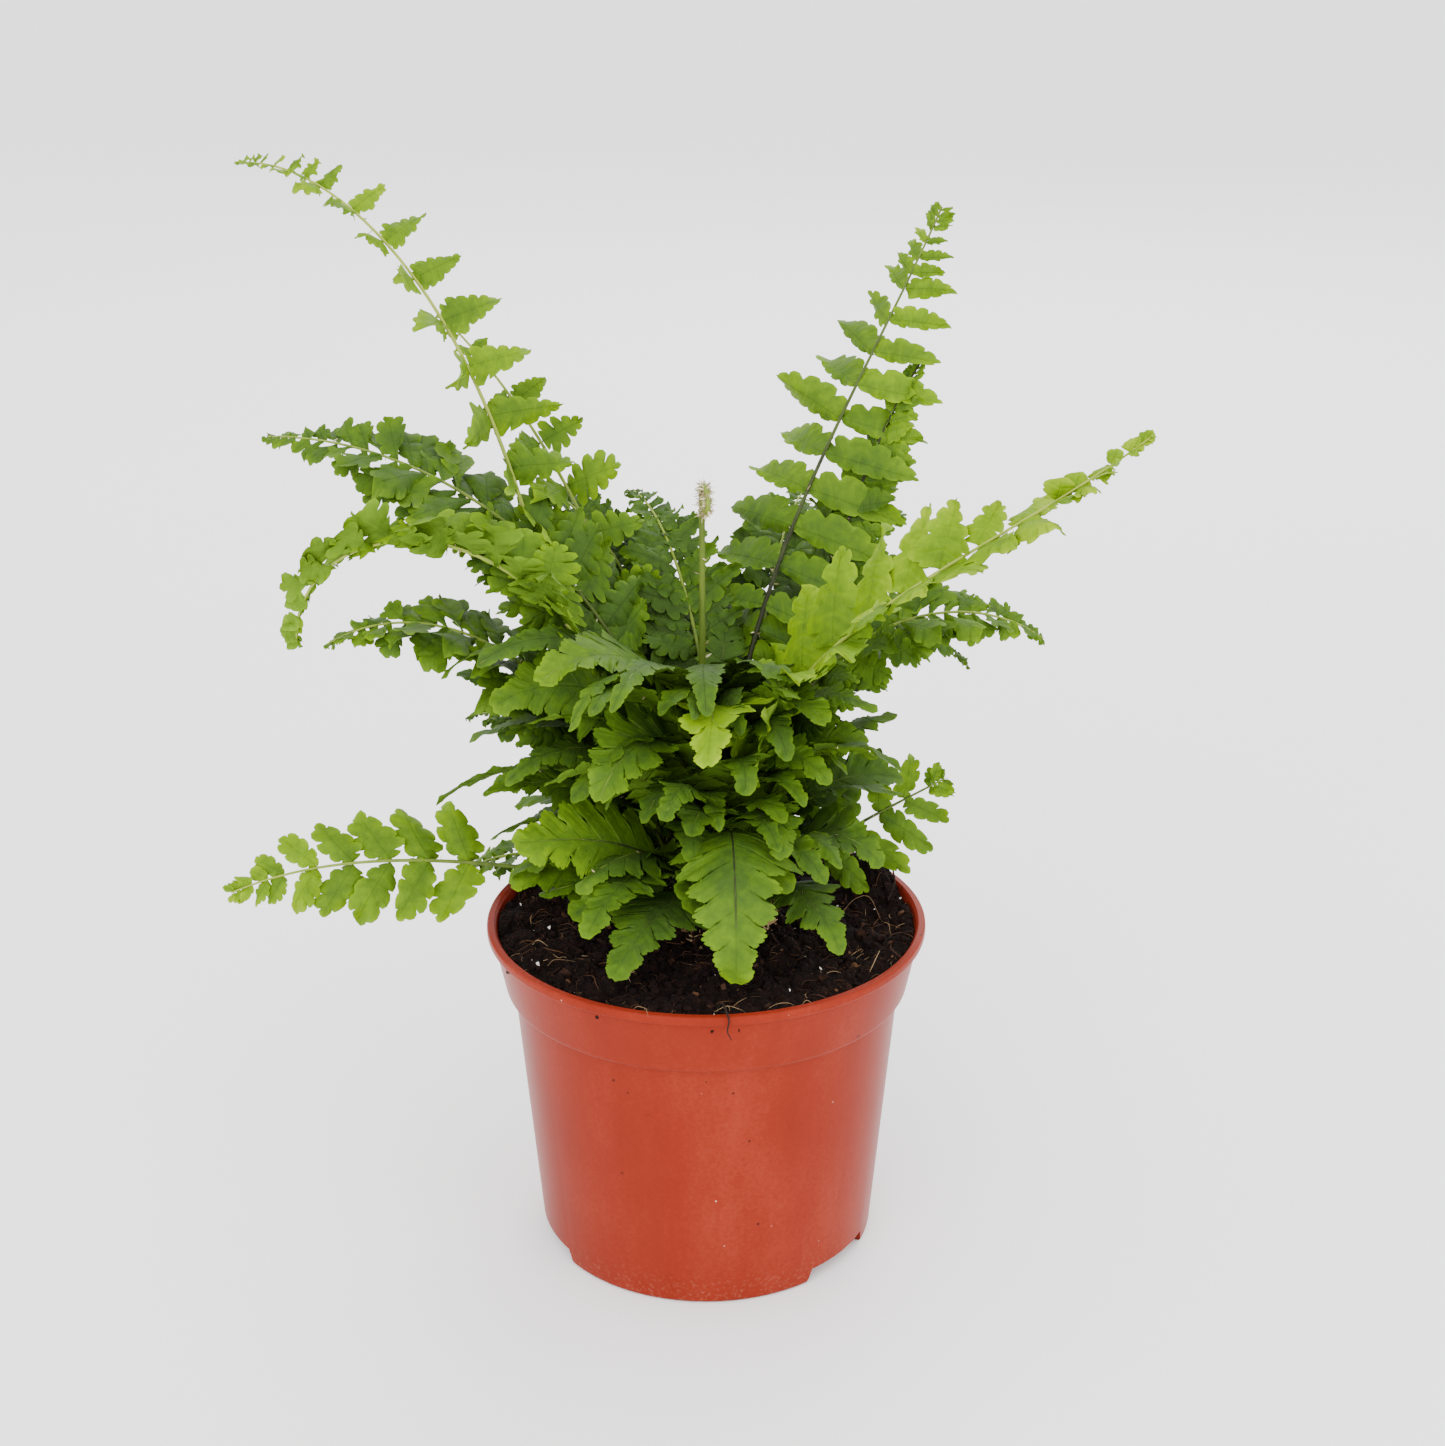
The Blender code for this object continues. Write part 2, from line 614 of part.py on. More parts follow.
def mesh_triangles(mesh):
    mesh.calc_loop_triangles()
    corners = [corner.co.copy() for corner in mesh.vertices]
    return corners, [tuple(triangle.vertices) for triangle in mesh.loop_triangles]


def choose_leaflets(row, axis, ribs, placed):
    """Bends or shortens each leaflet until it is clear, and leaves out one that never is."""
    own = Obstacles()
    whole = Obstacles()
    chosen = []
    thick = BLADE_THICKNESS / 2 + CLEARANCE
    for site in leaflet_sites(row, axis):
        found = None
        for size in SIZE_TRIES:
            for bend in BEND_TRIES:
                pairs, tip, face = leaflet_points(site, bend, size)
                tree = BVHTree.FromPolygons(*leaflet_plate(pairs, tip, face, thick), epsilon=0.0)
                if placed.meets(tree) or own.meets(tree):
                    continue
                if any(rib.meets(tree) for name, rib in ribs.items() if name != row["name"]):
                    continue
                found = (site, bend, size)
                break
            if found:
                break
        if found:
            chosen.append(found)
            pairs, tip, face = leaflet_points(*found)
            own.add(*leaflet_plate(pairs[1:], tip, face, BLADE_THICKNESS / 2))
            whole.add(*leaflet_plate(pairs, tip, face, BLADE_THICKNESS / 2))
    return chosen, whole


def blade_mesh(row, axis, chosen):
    """Open surface of a frond's rib and leaflets, in triangles."""
    work = bmesh.new()
    young = row["form"] == "young"
    picked = {(site["pair"], site["side"]): (site, bend, size) for site, bend, size in chosen}
    shares = pair_shares(row)
    blade = row["length"] * MM * (1 - row["bare"])
    stations = [-0.02]
    starts = []
    for k, share in enumerate(shares):
        after = shares[k + 1] if k + 1 < len(shares) else 2 * share - shares[k - 1]
        half = (after - share) * (YOUNG_BASE if young else GROWN_BASE)
        if share - half > stations[-1] + 0.001:
            stations.append(share - half)
        starts.append(len(stations) - 1)
        stations.append(share + half)
    stations.append(0.5 + 0.5 * stations[-1])
    rails = {1: [], -1: []}
    for share in stations:
        point, along, upper, right = frame_at(row, axis, max(share, 0))
        point = point + along * min(share, 0) * blade
        half_width = RIB_HALF_WIDTH * (1 - 0.5 * max(share, 0))
        for side in (1, -1):
            rails[side].append(work.verts.new(point + right * side * half_width))
    tip_point, along, upper, right = frame_at(row, axis, 1.0)
    tip = work.verts.new(tip_point)
    for k in range(len(stations) - 1):
        a, b = rails[-1][k], rails[-1][k + 1]
        c, d = rails[1][k + 1], rails[1][k]
        work.faces.new((a, b, c))
        work.faces.new((a, c, d))
    work.faces.new((rails[-1][-1], tip, rails[1][-1]))
    for (k, side), (site, bend, size) in picked.items():
        pairs, end, face = leaflet_points(site, bend, size)
        low, high = rails[side][starts[k]], rails[side][starts[k] + 1]
        for far, near in pairs[1:]:
            far_corner, near_corner = work.verts.new(far), work.verts.new(near)
            work.faces.new((low, far_corner, near_corner))
            work.faces.new((low, near_corner, high))
            low, high = far_corner, near_corner
        work.faces.new((low, work.verts.new(end), high))
    bmesh.ops.recalc_face_normals(work, faces=work.faces)
    mesh = bpy.data.meshes.new("blade")
    work.to_mesh(mesh)
    work.free()
    return mesh


def tube_mesh(points, radii, collection, resolution):
    """A closed tube along points, from a bevelled curve with filled caps."""
    curve = bpy.data.curves.new("tube", "CURVE")
    curve.dimensions = "3D"
    curve.bevel_depth = 1.0
    curve.bevel_resolution = resolution
    curve.use_fill_caps = True
    line = curve.splines.new("POLY")
    line.points.add(len(points) - 1)
    for spot, point, radius in zip(line.points, points, radii):
        spot.co = (*point, 1)
        spot.radius = radius
    item = bpy.data.objects.new("tube", curve)
    collection.objects.link(item)
    mesh = evaluated_mesh(item)
    bpy.data.objects.remove(item, do_unlink=True)
    return mesh


def make_frond(row, axis, chosen, parts, material):
    blade = add_object(row["name"], blade_mesh(row, axis, chosen), parts, material)
    wall = blade.modifiers.new("thickness", "SOLIDIFY")
    wall.thickness = BLADE_THICKNESS
    wall.offset = 0
    mesh = evaluated_mesh(blade)
    blade.modifiers.clear()
    blade.data = mesh
    points, directions, upright = axis
    length = row["length"] * MM
    end = math.ceil(AXIS_STEPS * (upright + length * row["bare"] + STIPE_LAP) / (upright + length))
    foot = max(1, int(AXIS_STEPS * upright / (upright + length)))
    stride = max(1, round(STIPE_STRIDE * AXIS_STEPS / (upright + length)))
    picks = [0, foot, foot + stride // 3] + list(range(foot + stride, end - 2, stride)) + [end]
    picks = sorted(set(picks))
    stipe_points = [points[k] for k in picks]
    taper = [STIPE_RADIUS + (STIPE_TIP_RADIUS - STIPE_RADIUS) * k / end for k in picks]
    joined = new_collection("frond_pieces")
    add_object("stipe", tube_mesh(stipe_points, taper, parts, 0), joined)
    apply_boolean(blade, "UNION", collection=joined)
    for item in list(joined.objects):
        bpy.data.objects.remove(item, do_unlink=True)
    bpy.data.collections.remove(joined)
    return blade


def make_fiddlehead(parts, material, seat):
    """A stalk that ends in a coil standing on edge."""
    azimuth = math.radians(FIDDLE_FACING)
    across = np.array([math.cos(azimuth), math.sin(azimuth), 0])
    up = np.array([0, 0, 1.0])
    low = np.array([seat[0], seat[1], seat_bottom()])
    stalk = FIDDLE_HEIGHT + upright_length(seat)
    points = [low + up * stalk * k / 3 for k in range(4)]
    radii = [FIDDLE_RADIUS * (1 - 0.25 * k / 3) for k in range(4)]
    centre = points[-1] + across * FIDDLE_COIL_RADIUS
    turns = int(FIDDLE_TURNS * FIDDLE_STEPS)
    for k in range(1, turns):
        share = k / turns
        angle = math.pi - math.tau * k / FIDDLE_STEPS
        reach = FIDDLE_COIL_RADIUS * (1 - 0.72 * share)
        points.append(centre + across * reach * math.cos(angle) + up * reach * math.sin(angle))
        radii.append(FIDDLE_RADIUS * 0.75 * (1 - 0.35 * share))
    mesh = tube_mesh(points, radii, parts, 1)
    return add_object("fiddlehead", mesh, parts, material)


def main():
    clear_scene()
    parts = new_collection(MODEL)
    cutters = new_collection("cutters")
    plastic = new_material("terracotta_plastic", (0.52, 0.085, 0.042), 0.38)
    compost = new_material("compost", (0.018, 0.009, 0.006), 0.95)
    rhizome = new_material("rhizome", (0.10, 0.055, 0.025), 0.85)
    leaf = new_material("leaf_green", (0.16, 0.30, 0.03), 0.5)
    young_leaf = new_material("young_green", (0.22, 0.38, 0.04), 0.5)
    hairy = new_material("fiddlehead_green", (0.36, 0.40, 0.14), 0.7)

    rows = [dict(zip(FROND_COLUMNS, row)) for row in FROND_ROWS]
    fiddle_row = dict(name="fiddlehead", azimuth=FIDDLE_AZIMUTH, ring=0)
    seats = frond_seats(rows + [fiddle_row])
    axes = {row["name"]: frond_axis(row, seats[row["name"]]) for row in rows}
    make_pot(parts, cutters, plastic)
    make_soil(parts, cutters, compost)
    ordered_seats = [seats[row["name"]] for row in rows] + [seats["fiddlehead"]]
    make_crown(parts, cutters, rhizome, ordered_seats)
    fiddlehead = make_fiddlehead(parts, hairy, seats["fiddlehead"])

    placed = Obstacles()
    for name in ("pot", "soil", "crown"):
        placed.add(*mesh_triangles(bpy.data.objects[name].data))
    placed.add(*mesh_triangles(fiddlehead.data))
    ribs = {}
    for row in rows:
        ribs[row["name"]] = Obstacles()
        ribs[row["name"]].add(*tube_triangles(axes[row["name"]][0][::2], STIPE_RADIUS + GAP))
    for row in rows:
        chosen, whole = choose_leaflets(row, axes[row["name"]], ribs, placed)
        placed.add(whole.corners, whole.faces)
        make_frond(row, axes[row["name"]], chosen, parts,
                   young_leaf if row["form"] == "young" else leaf)


main()
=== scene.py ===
import json
import math
import random

import bmesh
import bpy
import numpy as np
from mathutils import Matrix, Vector, noise
from mathutils.kdtree import KDTree

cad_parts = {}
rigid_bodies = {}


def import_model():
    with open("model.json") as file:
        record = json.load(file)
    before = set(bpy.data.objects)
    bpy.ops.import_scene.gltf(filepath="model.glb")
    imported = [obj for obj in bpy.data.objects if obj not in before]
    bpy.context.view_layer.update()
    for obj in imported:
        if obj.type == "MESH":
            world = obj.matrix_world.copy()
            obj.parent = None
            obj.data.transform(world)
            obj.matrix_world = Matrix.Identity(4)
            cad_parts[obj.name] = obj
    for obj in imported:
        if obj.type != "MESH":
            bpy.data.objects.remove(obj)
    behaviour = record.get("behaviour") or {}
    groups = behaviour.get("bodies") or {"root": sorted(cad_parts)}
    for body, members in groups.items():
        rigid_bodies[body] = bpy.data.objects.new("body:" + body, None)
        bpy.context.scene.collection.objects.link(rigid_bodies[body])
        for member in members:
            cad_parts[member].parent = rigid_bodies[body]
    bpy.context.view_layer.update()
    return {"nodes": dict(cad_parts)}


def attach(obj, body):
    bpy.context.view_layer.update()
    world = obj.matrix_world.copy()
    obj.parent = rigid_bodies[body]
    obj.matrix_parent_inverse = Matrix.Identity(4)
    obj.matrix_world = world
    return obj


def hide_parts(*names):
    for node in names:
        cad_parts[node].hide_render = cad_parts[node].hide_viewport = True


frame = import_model()

MM = 0.001

# Pot
POT_HEIGHT = 94 * MM
BAND_HEIGHT = 18 * MM
FOOT_RADIUS = 46.5 * MM
BODY_TOP_RADIUS = 53.0 * MM
BAND_FOOT_RADIUS = 55.3 * MM
LIP_RADIUS = 60 * MM
LIP_WIDTH = 2.6 * MM
WALL = 1.4 * MM
FLOOR = 1.4 * MM
LIP_HEIGHT = 2.4 * MM
LIP_UNDERSIDE = 2.9 * MM
LIP_INSET = 1.6 * MM
STEP_LEVEL = POT_HEIGHT - BAND_HEIGHT
STEP_HEIGHT = 1.2 * MM
INNER_STEP = (STEP_LEVEL - 2 * MM, STEP_LEVEL + 1 * MM)
MOUTH_SLOPE = 0.7 * MM
MOUTH_CLEARANCE = 1.0 * MM
POT_STEPS = 144
CORNER_STEPS = 5
POT_SHARP_ANGLE = 32
AXIS_MERGE = 0.00001
CORNER_MERGE = 0.002 * MM
POCKET_ANGLES = (-38, -159, 82)
POCKET_HEIGHT = 4.5 * MM
POCKET_DEPTH = 11 * MM
POCKET_WIDTH = 23 * MM
POCKET_FLARE = 3 * MM
DRAIN_RADIUS = 3 * MM
DRAIN_SIDES = 40
DRAIN_CUT = 20 * MM
DRAIN_INSET = 1 * MM
CUT_PAST_TOP = 5 * MM
CUT_PAST_SIDE = 8 * MM
CUT_PAST_FOOT = 4 * MM

# Compost and crown
SOIL_LEVEL = 90 * MM
SOIL_EDGE_DROP = 1.0 * MM
SOIL_MOUND = 1.0 * MM
SOIL_BANK = 2.2 * MM
SOIL_DEPTH = 3.2 * MM
SOIL_GAP = 0.3 * MM
SOIL_CLODS = 260
SOIL_GRAINS = 900
SOIL_RINGS = (90, 260)
SOIL_LUMPS = 0.9 * MM
LUMPS_CLEAR_OF_CROWN = 12 * MM
CLUMP_PLACE = (45 * MM, 25 * MM)
CLUMP_HEIGHT = 9 * MM
CLUMP_SPREAD = 9 * MM
CROWN_PLACE = (2 * MM, 5 * MM)
CROWN_RADIUS = 17 * MM
CROWN_TOP = 2.5 * MM
CROWN_DEPTH = 9 * MM
CROWN_SHEET_DEPTH = 8 * MM
CROWN_CLODS = 230
CROWN_RINGS = (30, 96)
SEAT_RADII = (3.4 * MM, 8.2 * MM, 13.2 * MM)
SEAT_FLOOR = 3 * MM
SEAT_COLLAR = 0.6 * MM

# Fronds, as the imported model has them
STIPE_BEND = 9 * MM
AXIS_STEPS = 60
RIB_HALF_WIDTH = 0.75 * MM
GROWN_CROWDING = 0.16
GROWN_FIRST = 0.30
YOUNG_FIRST = 0.48
GROWN_SHARES = ((0, 0.12, 0.3, 0.6, 0.85, 1), (0.72, 0.93, 1, 0.78, 0.36, 0.12))
YOUNG_SHARES = ((0, 0.15, 0.35, 0.8, 1), (0.7, 0.95, 1, 0.55, 0.25))
GROWN_CLOSING = 36
YOUNG_CLOSING = 30
GROWN_WIDTH = 0.84
WIDEST_LEAFLET = 0.72
LEAFLET_DROOP = 0.10
BEND_TRIES = (0, 15, -15, 30, -30, 50, -50, 70)
SIZE_TRIES = (1.0, 0.8, 0.6, 0.45)
TRY_TOLERANCE = 0.6 * MM
FREE_BENDS = (-25, 15)
FREE_BEND_DRIFT = (-12, 12)

# Name, azimuth and ring of the seat, length, bare share of the stipe, lean at the foot, halfway
# and at the tip, swing, roll, longest leaflet, pairs, spread, lift of each side, form.
FROND_COLUMNS = ("name", "azimuth", "ring", "length", "bare", "lean_foot", "lean_half", "lean_tip",
                 "swing", "roll", "leaflet", "pairs", "spread", "lift_right", "lift_left", "form")
FROND_ROWS = (
    ("frond_tall_left", 169, 1, 255, 0.38, 46, 19, 98, -29, -45, 18, 12, 114, 0, 70, "grown"),
    ("frond_left_inner", 148, 1, 180, 0.48, 16, 26, 55, 0, -45, 17, 7, 108, 0, 60, "grown"),
    ("frond_tall_right", 52, 1, 201, 0.40, -6, 28, 25, -32, 5, 23, 12, 98, -25, 5, "grown"),
    ("frond_right_inner", 36, 1, 158, 0.52, 32, 18, 42, 0, 0, 16, 7, 78, 10, 10, "grown"),
    ("frond_right_long", -42, 1, 189, 0.32, -15, 45, 51, 42, 60, 23, 11, 66, 70, 0, "grown"),
    ("frond_right_far", 15, 2, 138, 0.38, -10, 43, 128, -10, 10, 18, 7, 78, 10, 10, "grown"),
    ("frond_left_dark", 173, 1, 193, 0.36, -4, 40, 95, -10, 0, 21, 9, 80, 10, -10, "grown"),
    ("frond_left_pale", -165, 1, 187, 0.36, 30, 37, 181, -29, 20, 20, 9, 78, 40, 40, "grown"),
    ("frond_left_low", -174, 2, 137, 0.40, 28, 37, 122, 0, 0, 18, 7, 78, 10, 10, "grown"),
    ("frond_left_lowest", 185, 2, 125, 0.36, 84, 83, 111, 5, -50, 13, 8, 74, 0, 0, "grown"),
    ("frond_right_low", 8, 2, 64, 0.36, 44, 61, 67, 7, 50, 13, 5, 78, 0, 0, "grown"),
    ("frond_back_tall", 112, 0, 134, 0.40, 6, 26, 92, 0, 0, 21, 7, 78, 10, 10, "grown"),
    ("frond_back_left", 128, 2, 142, 0.38, 10, 34, 92, 0, 0, 21, 7, 78, 10, 10, "grown"),
    ("frond_back_right", 76, 2, 142, 0.38, 14, 40, 95, 0, 0, 21, 7, 78, 10, 10, "grown"),
    ("frond_back_low", 104, 2, 112, 0.36, 36, 60, 105, 0, 0, 19, 6, 78, 10, 10, "grown"),
    ("frond_back_low_left", 152, 2, 92, 0.36, 34, 58, 112, 0, 0, 18, 5, 78, 10, 10, "grown"),
    ("frond_back_low_right", 48, 2, 122, 0.36, 20, 49, 148, -22, 0, 18, 6, 78, 10, 10, "grown"),
    ("frond_left_hanging", 164, 2, 78, 0.45, 84, 92, 140, 0, 0, 10, 4, 78, 10, 10, "grown"),
    ("young_middle_left", -140, 0, 116, 0.50, 0, 24, 116, 0, -25, 15, 6, 70, 5, 5, "young"),
    ("young_middle_front", -95, 0, 106, 0.56, -4, 28, 136, 0, 0, 17, 5, 70, 5, 5, "young"),
    ("young_left_wide", -160, 2, 108, 0.52, -12, 28, 118, 0, -45, 12, 6, 76, 0, 0, "young"),
    ("young_left_short", -174, 2, 72, 0.42, 4, 44, 118, 0, -30, 11, 5, 74, 0, 0, "young"),
    ("young_front_hanging", -88, 2, 94, 0.42, -22, 80, 206, 0, 0, 15, 6, 78, 0, 0, "young"),
    ("young_front_left", -116, 2, 62, 0.34, 10, 86, 124, -8, 0, 13, 5, 72, 0, 0, "young"),
    ("young_left_flat", -150, 2, 70, 0.38, 4, 60, 84, 0, -45, 13, 5, 74, 0, 0, "young"),
    ("young_left_flat_low", -166, 2, 52, 0.42, 38, 70, 114, 0, -30, 11, 4, 72, 0, 0, "young"),
    ("young_front_right", -60, 2, 54, 0.36, 26, 78, 140, 0, 10, 11, 4, 70, 0, 0, "young"),
    ("young_middle_right", -50, 1, 96, 0.52, 0, 18, 114, 0, 10, 15, 5, 70, 5, 5, "young"),
    ("young_right_low", -26, 2, 54, 0.40, 6, 52, 144, 0, 20, 13, 4, 72, 0, 0, "young"),
    ("young_inner_left", -122, 1, 96, 0.50, 0, 32, 142, 0, -10, 16, 5, 70, 5, 5, "young"),
    ("young_inner_right", -14, 1, 70, 0.42, 0, 24, 102, 0, 30, 14, 5, 74, 5, 5, "young"),
    ("young_low_front", -72, 2, 66, 0.44, -10, 34, 144, 0, 5, 14, 4, 70, 0, 0, "young"),
)
# How a grown frond looks: greenness (0 dark, 1 pale), brownness of its stem, leaflet form low and
# high on the blade and where one gives way to the other, small pairs below the blade, how far the
# right and left leaflets between the pairs are bent (None where only the tip has such leaflets), how
# many stand in each gap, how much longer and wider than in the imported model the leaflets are, from
# which share of the blade on they grow (-1 for all), and how much larger they get towards the tip.
GROWN_COLUMNS = ("tone", "brown", "low", "high", "change", "basal", "between", "per_gap",
                 "longer", "wider", "start", "fuller")
GROWN_LOOKS = {
    "frond_tall_left": (.74, .10, "eared", "lance", .42, 2, None, 1, 1.08, 0.84, -1, 0),
    "frond_left_inner": (.66, .35, "lobed", "lance", .60, 2, None, 1, 0.98, 0.92, -1, 0),
    "frond_tall_right": (.62, .62, "scallop", "scallop", .50, 4, None, 1, 1.18, 0.60, -1, .15),
    "frond_right_inner": (.46, .85, "lobed", "scallop", .40, 5, (20, -25), 2, 1.02, 0.88, -1, 0),
    "frond_right_long": (.86, .05, "eared", "lance", .80, 3, None, 1, 1.16, 1.50, -1, -.45),
    "frond_right_far": (.42, .40, "lobed", "wedge", .50, 5, (-40, 30), 2, 1.05, 0.95, -1, 0),
    "frond_left_dark": (.38, .45, "lobed", "wedge", .45, 6, (38, -45), 2, 1.12, 0.98, -1, 0),
    "frond_left_pale": (.66, .20, "lobed", "wedge", .30, 4, (6, -8), 1, 0.74, 1.15, -1, .75),
    "frond_left_low": (.40, .40, "lobed", "wedge", .30, 6, (30, -45), 2, 1.12, 1.00, -1, 0),
    "frond_left_lowest": (.74, .35, "oblong", "oblong", .50, 0, None, 1, 1.34, 1.14, 0.12, .35),
    "frond_right_low": (.56, .60, "oblong", "oblong", .50, 0, None, 1, 1.40, 0.98, -1, .30),
    "frond_back_tall": (.24, .40, "lobed", "eared", .60, 5, (30, -30), 2, 0.88, 0.72, -1, 0),
    "frond_back_left": (.20, .40, "lobed", "eared", .60, 5, (30, -30), 2, 0.88, 0.72, -1, 0),
    "frond_back_right": (.24, .40, "lobed", "eared", .60, 5, (-30, 30), 2, 0.88, 0.72, -1, 0),
    "frond_back_low": (.18, .40, "lobed", "wedge", .60, 4, (30, -30), 2, 0.88, 0.74, -1, 0),
    "frond_back_low_left": (.18, .40, "lobed", "wedge", .60, 4, (30, -40), 2, 0.88, 0.76, -1, 0),
    "frond_back_low_right": (.22, .40, "lobed", "wedge", .60, 4, (-40, 30), 2, 0.88, 0.76, -1, 0),
    "frond_left_hanging": (.50, .35, "wedge", "wedge", .60, 2, (20, -30), 2, 1.10, 1.05, -1, 0),
}
# How a young frond looks: greenness, brownness, how much longer its lobes are, their width in
# millimetres, and how deep they are cut.
YOUNG_COLUMNS = ("tone", "brown", "longer", "lobe", "cut")
YOUNG_LOOKS = {
    "young_middle_left": (.34, .62, 1.25, 6.4, .42), "young_middle_front": (.72, .55, 1.20, 6.6, .66),
    "young_left_wide": (.26, .60, 1.60, 5.6, .32), "young_left_short": (.26, .62, 1.45, 5.4, .46),
    "young_front_hanging": (.34, .72, 1.22, 7.2, .36), "young_front_left": (.16, .62, 1.30, 5.6, .36),
    "young_left_flat": (.46, .62, 1.45, 6.4, .42), "young_left_flat_low": (.40, .62, 1.45, 5.2, .44),
    "young_front_right": (.20, .62, 1.15, 5.4, .50), "young_middle_right": (.26, .62, 1.25, 6.0, .55),
    "young_right_low": (.22, .62, 1.15, 5.4, .55), "young_inner_left": (.26, .62, 1.25, 6.0, .46),
    "young_inner_right": (.24, .62, 1.25, 6.0, .55), "young_low_front": (.22, .62, 1.15, 5.6, .48),
}

# Small leaves that fill the crown: how many in each tier, the azimuths it spans, then the least and
# greatest of their lengths, leans halfway and at the tip, and distances from the crown's middle
CROWN_TIERS = ((9, (-180, 180), (84, 108), (14, 28), (80, 118), (2, 8)),
               (14, (-180, 180), (62, 88), (30, 48), (92, 125), (6, 13)),
               (14, (70, 262), (44, 66), (52, 72), (104, 130), (10, 15)),
               (14, (-165, -15), (88, 112), (8, 22), (100, 140), (3, 9)),
               (16, (-178, -8), (64, 88), (18, 36), (112, 148), (6, 12)),
               (12, (-176, -30), (44, 60), (34, 52), (118, 150), (9, 14)))
CROWN_SEED = 41
CROWN_LEFT_GROWTH = 0.22
CROWN_LEFT_LEAN = 10
CROWN_LEAFLET = 11.5
CROWN_LOBE = 5.6
# The least and greatest of what is drawn for every tier alike
CROWN_SPANS = dict(azimuth=(-0.35, 0.35), bare=(0.34, 0.46), lean_foot=(-6, 12), swing=(-30, 30),
                   roll=(-35, 35), leaflet=(0.8, 1.1), tone=(0.05, 0.28), longer=(0.95, 1.2),
                   lobe=(0.85, 1.2), cut=(0.32, 0.66))

# Stems: radius at the foot, where the blade starts and at the tip, and how hairy they are along them
STEM_RADII = (1.1 * MM, 0.62 * MM, 0.26 * MM)
YOUNG_STEM_SHARE = 0.55
HAIR_STATIONS = ((0, 0.3, 1), (1.6, 0.9, 0.15))
HAIR_ANGLES = ((-1.0, -1.0, -3.1), (1.0, 1.0, 3.1))
HAIR_SIZES = (0.45, 1.3)

# Leaflets of grown fronds: each pair of numbers is the least and greatest of a random draw
LEAF_THICKNESS = 0.42 * MM
LEAFLET_FOOT_MM = 0.35
ROUND_BELOW = 6 * MM
NARROWEST_LEAFLET = 0.38
FULLER_WIDTH = 0.6
BEND_DRIFT = (-10, 10)
LENGTH_DRIFT = (0.92, 1.10)
WIDTH_DRIFT = (0.95, 1.15)
DROOPS = (0.04, 0.20)
ARCHES = (-0.06, 0.24)
TWISTS = (-0.16, 0.16)
TONE_DRIFT = (-0.12, 0.12)
TONE_RISE = 0.28
# Small ones below the blade: their spacing as a share of the pairs', how far down they go, the length
# of the first pair as a share of the longest and what each further pair loses, width and bends
BASAL_STEP = 0.6
BASAL_LOWEST = 0.88
BASAL_SIZES = (0.88, 0.05)
BASAL_WIDTH = 0.55
BASAL_BENDS = (-45, 25)
# Small ones between the pairs and at the tip
BETWEEN_BENDS = (0.1, 1.2)
BETWEEN_SIZES = (0.75, 0.95)
TIP_PAIRS = 3
TIP_BARE_STEPS = 0.6
TIP_CROWDING = 0.74
TIP_WIDTH = 0.7

# Scales to a square metre of stem and their size, and the height and fineness of the leaves' ripples
FROND_SCALES = dict(Scale_density=90000.0, Scale_size=1.4 * MM)
CROWN_LEAF_SCALES = dict(Scale_density=40000.0, Scale_size=1.3 * MM)
FIDDLE_SCALES = dict(Scale_density=1100000.0, Scale_size=1.6 * MM)
GROWN_RIPPLE = 2.4 * MM
YOUNG_RIPPLE = 3.2 * MM
CROWN_LEAF_RIPPLE = 3.0 * MM
RIPPLES = 150.0

# Fiddlehead
FIDDLE_HEIGHT = 116 * MM
FIDDLE_RADIUS = 1.05 * MM
FIDDLE_TURNS = 1.6
FIDDLE_STEPS = 40
FIDDLE_STALK_STEPS = 24
FIDDLE_COIL_RADIUS = 4.4 * MM
FIDDLE_CLOSING = 0.72
FIDDLE_COIL_SHARE = 0.75
# Of stalk and coil: how much each thins, and how hairy each is
FIDDLE_THINNING = (0.25, 0.35)
FIDDLE_HAIRS = (0.03, 2.2)
FIDDLE_AZIMUTH = 172
FIDDLE_FACING = -78


# Node trees written as expressions


class Value:
    """A node socket that takes part in Python arithmetic."""

    def __init__(self, graph, socket):
        self.graph = graph
        self.socket = socket

    def __add__(self, other):
        return self.graph.math("ADD", self, other)

    def __radd__(self, other):
        return self.graph.math("ADD", other, self)

    def __sub__(self, other):
        return self.graph.math("SUBTRACT", self, other)

    def __rsub__(self, other):
        return self.graph.math("SUBTRACT", other, self)

    def __mul__(self, other):
        return self.graph.math("MULTIPLY", self, other)

    def __rmul__(self, other):
        return self.graph.math("MULTIPLY", other, self)

    def __pow__(self, other):
        return self.graph.math("POWER", self, other)


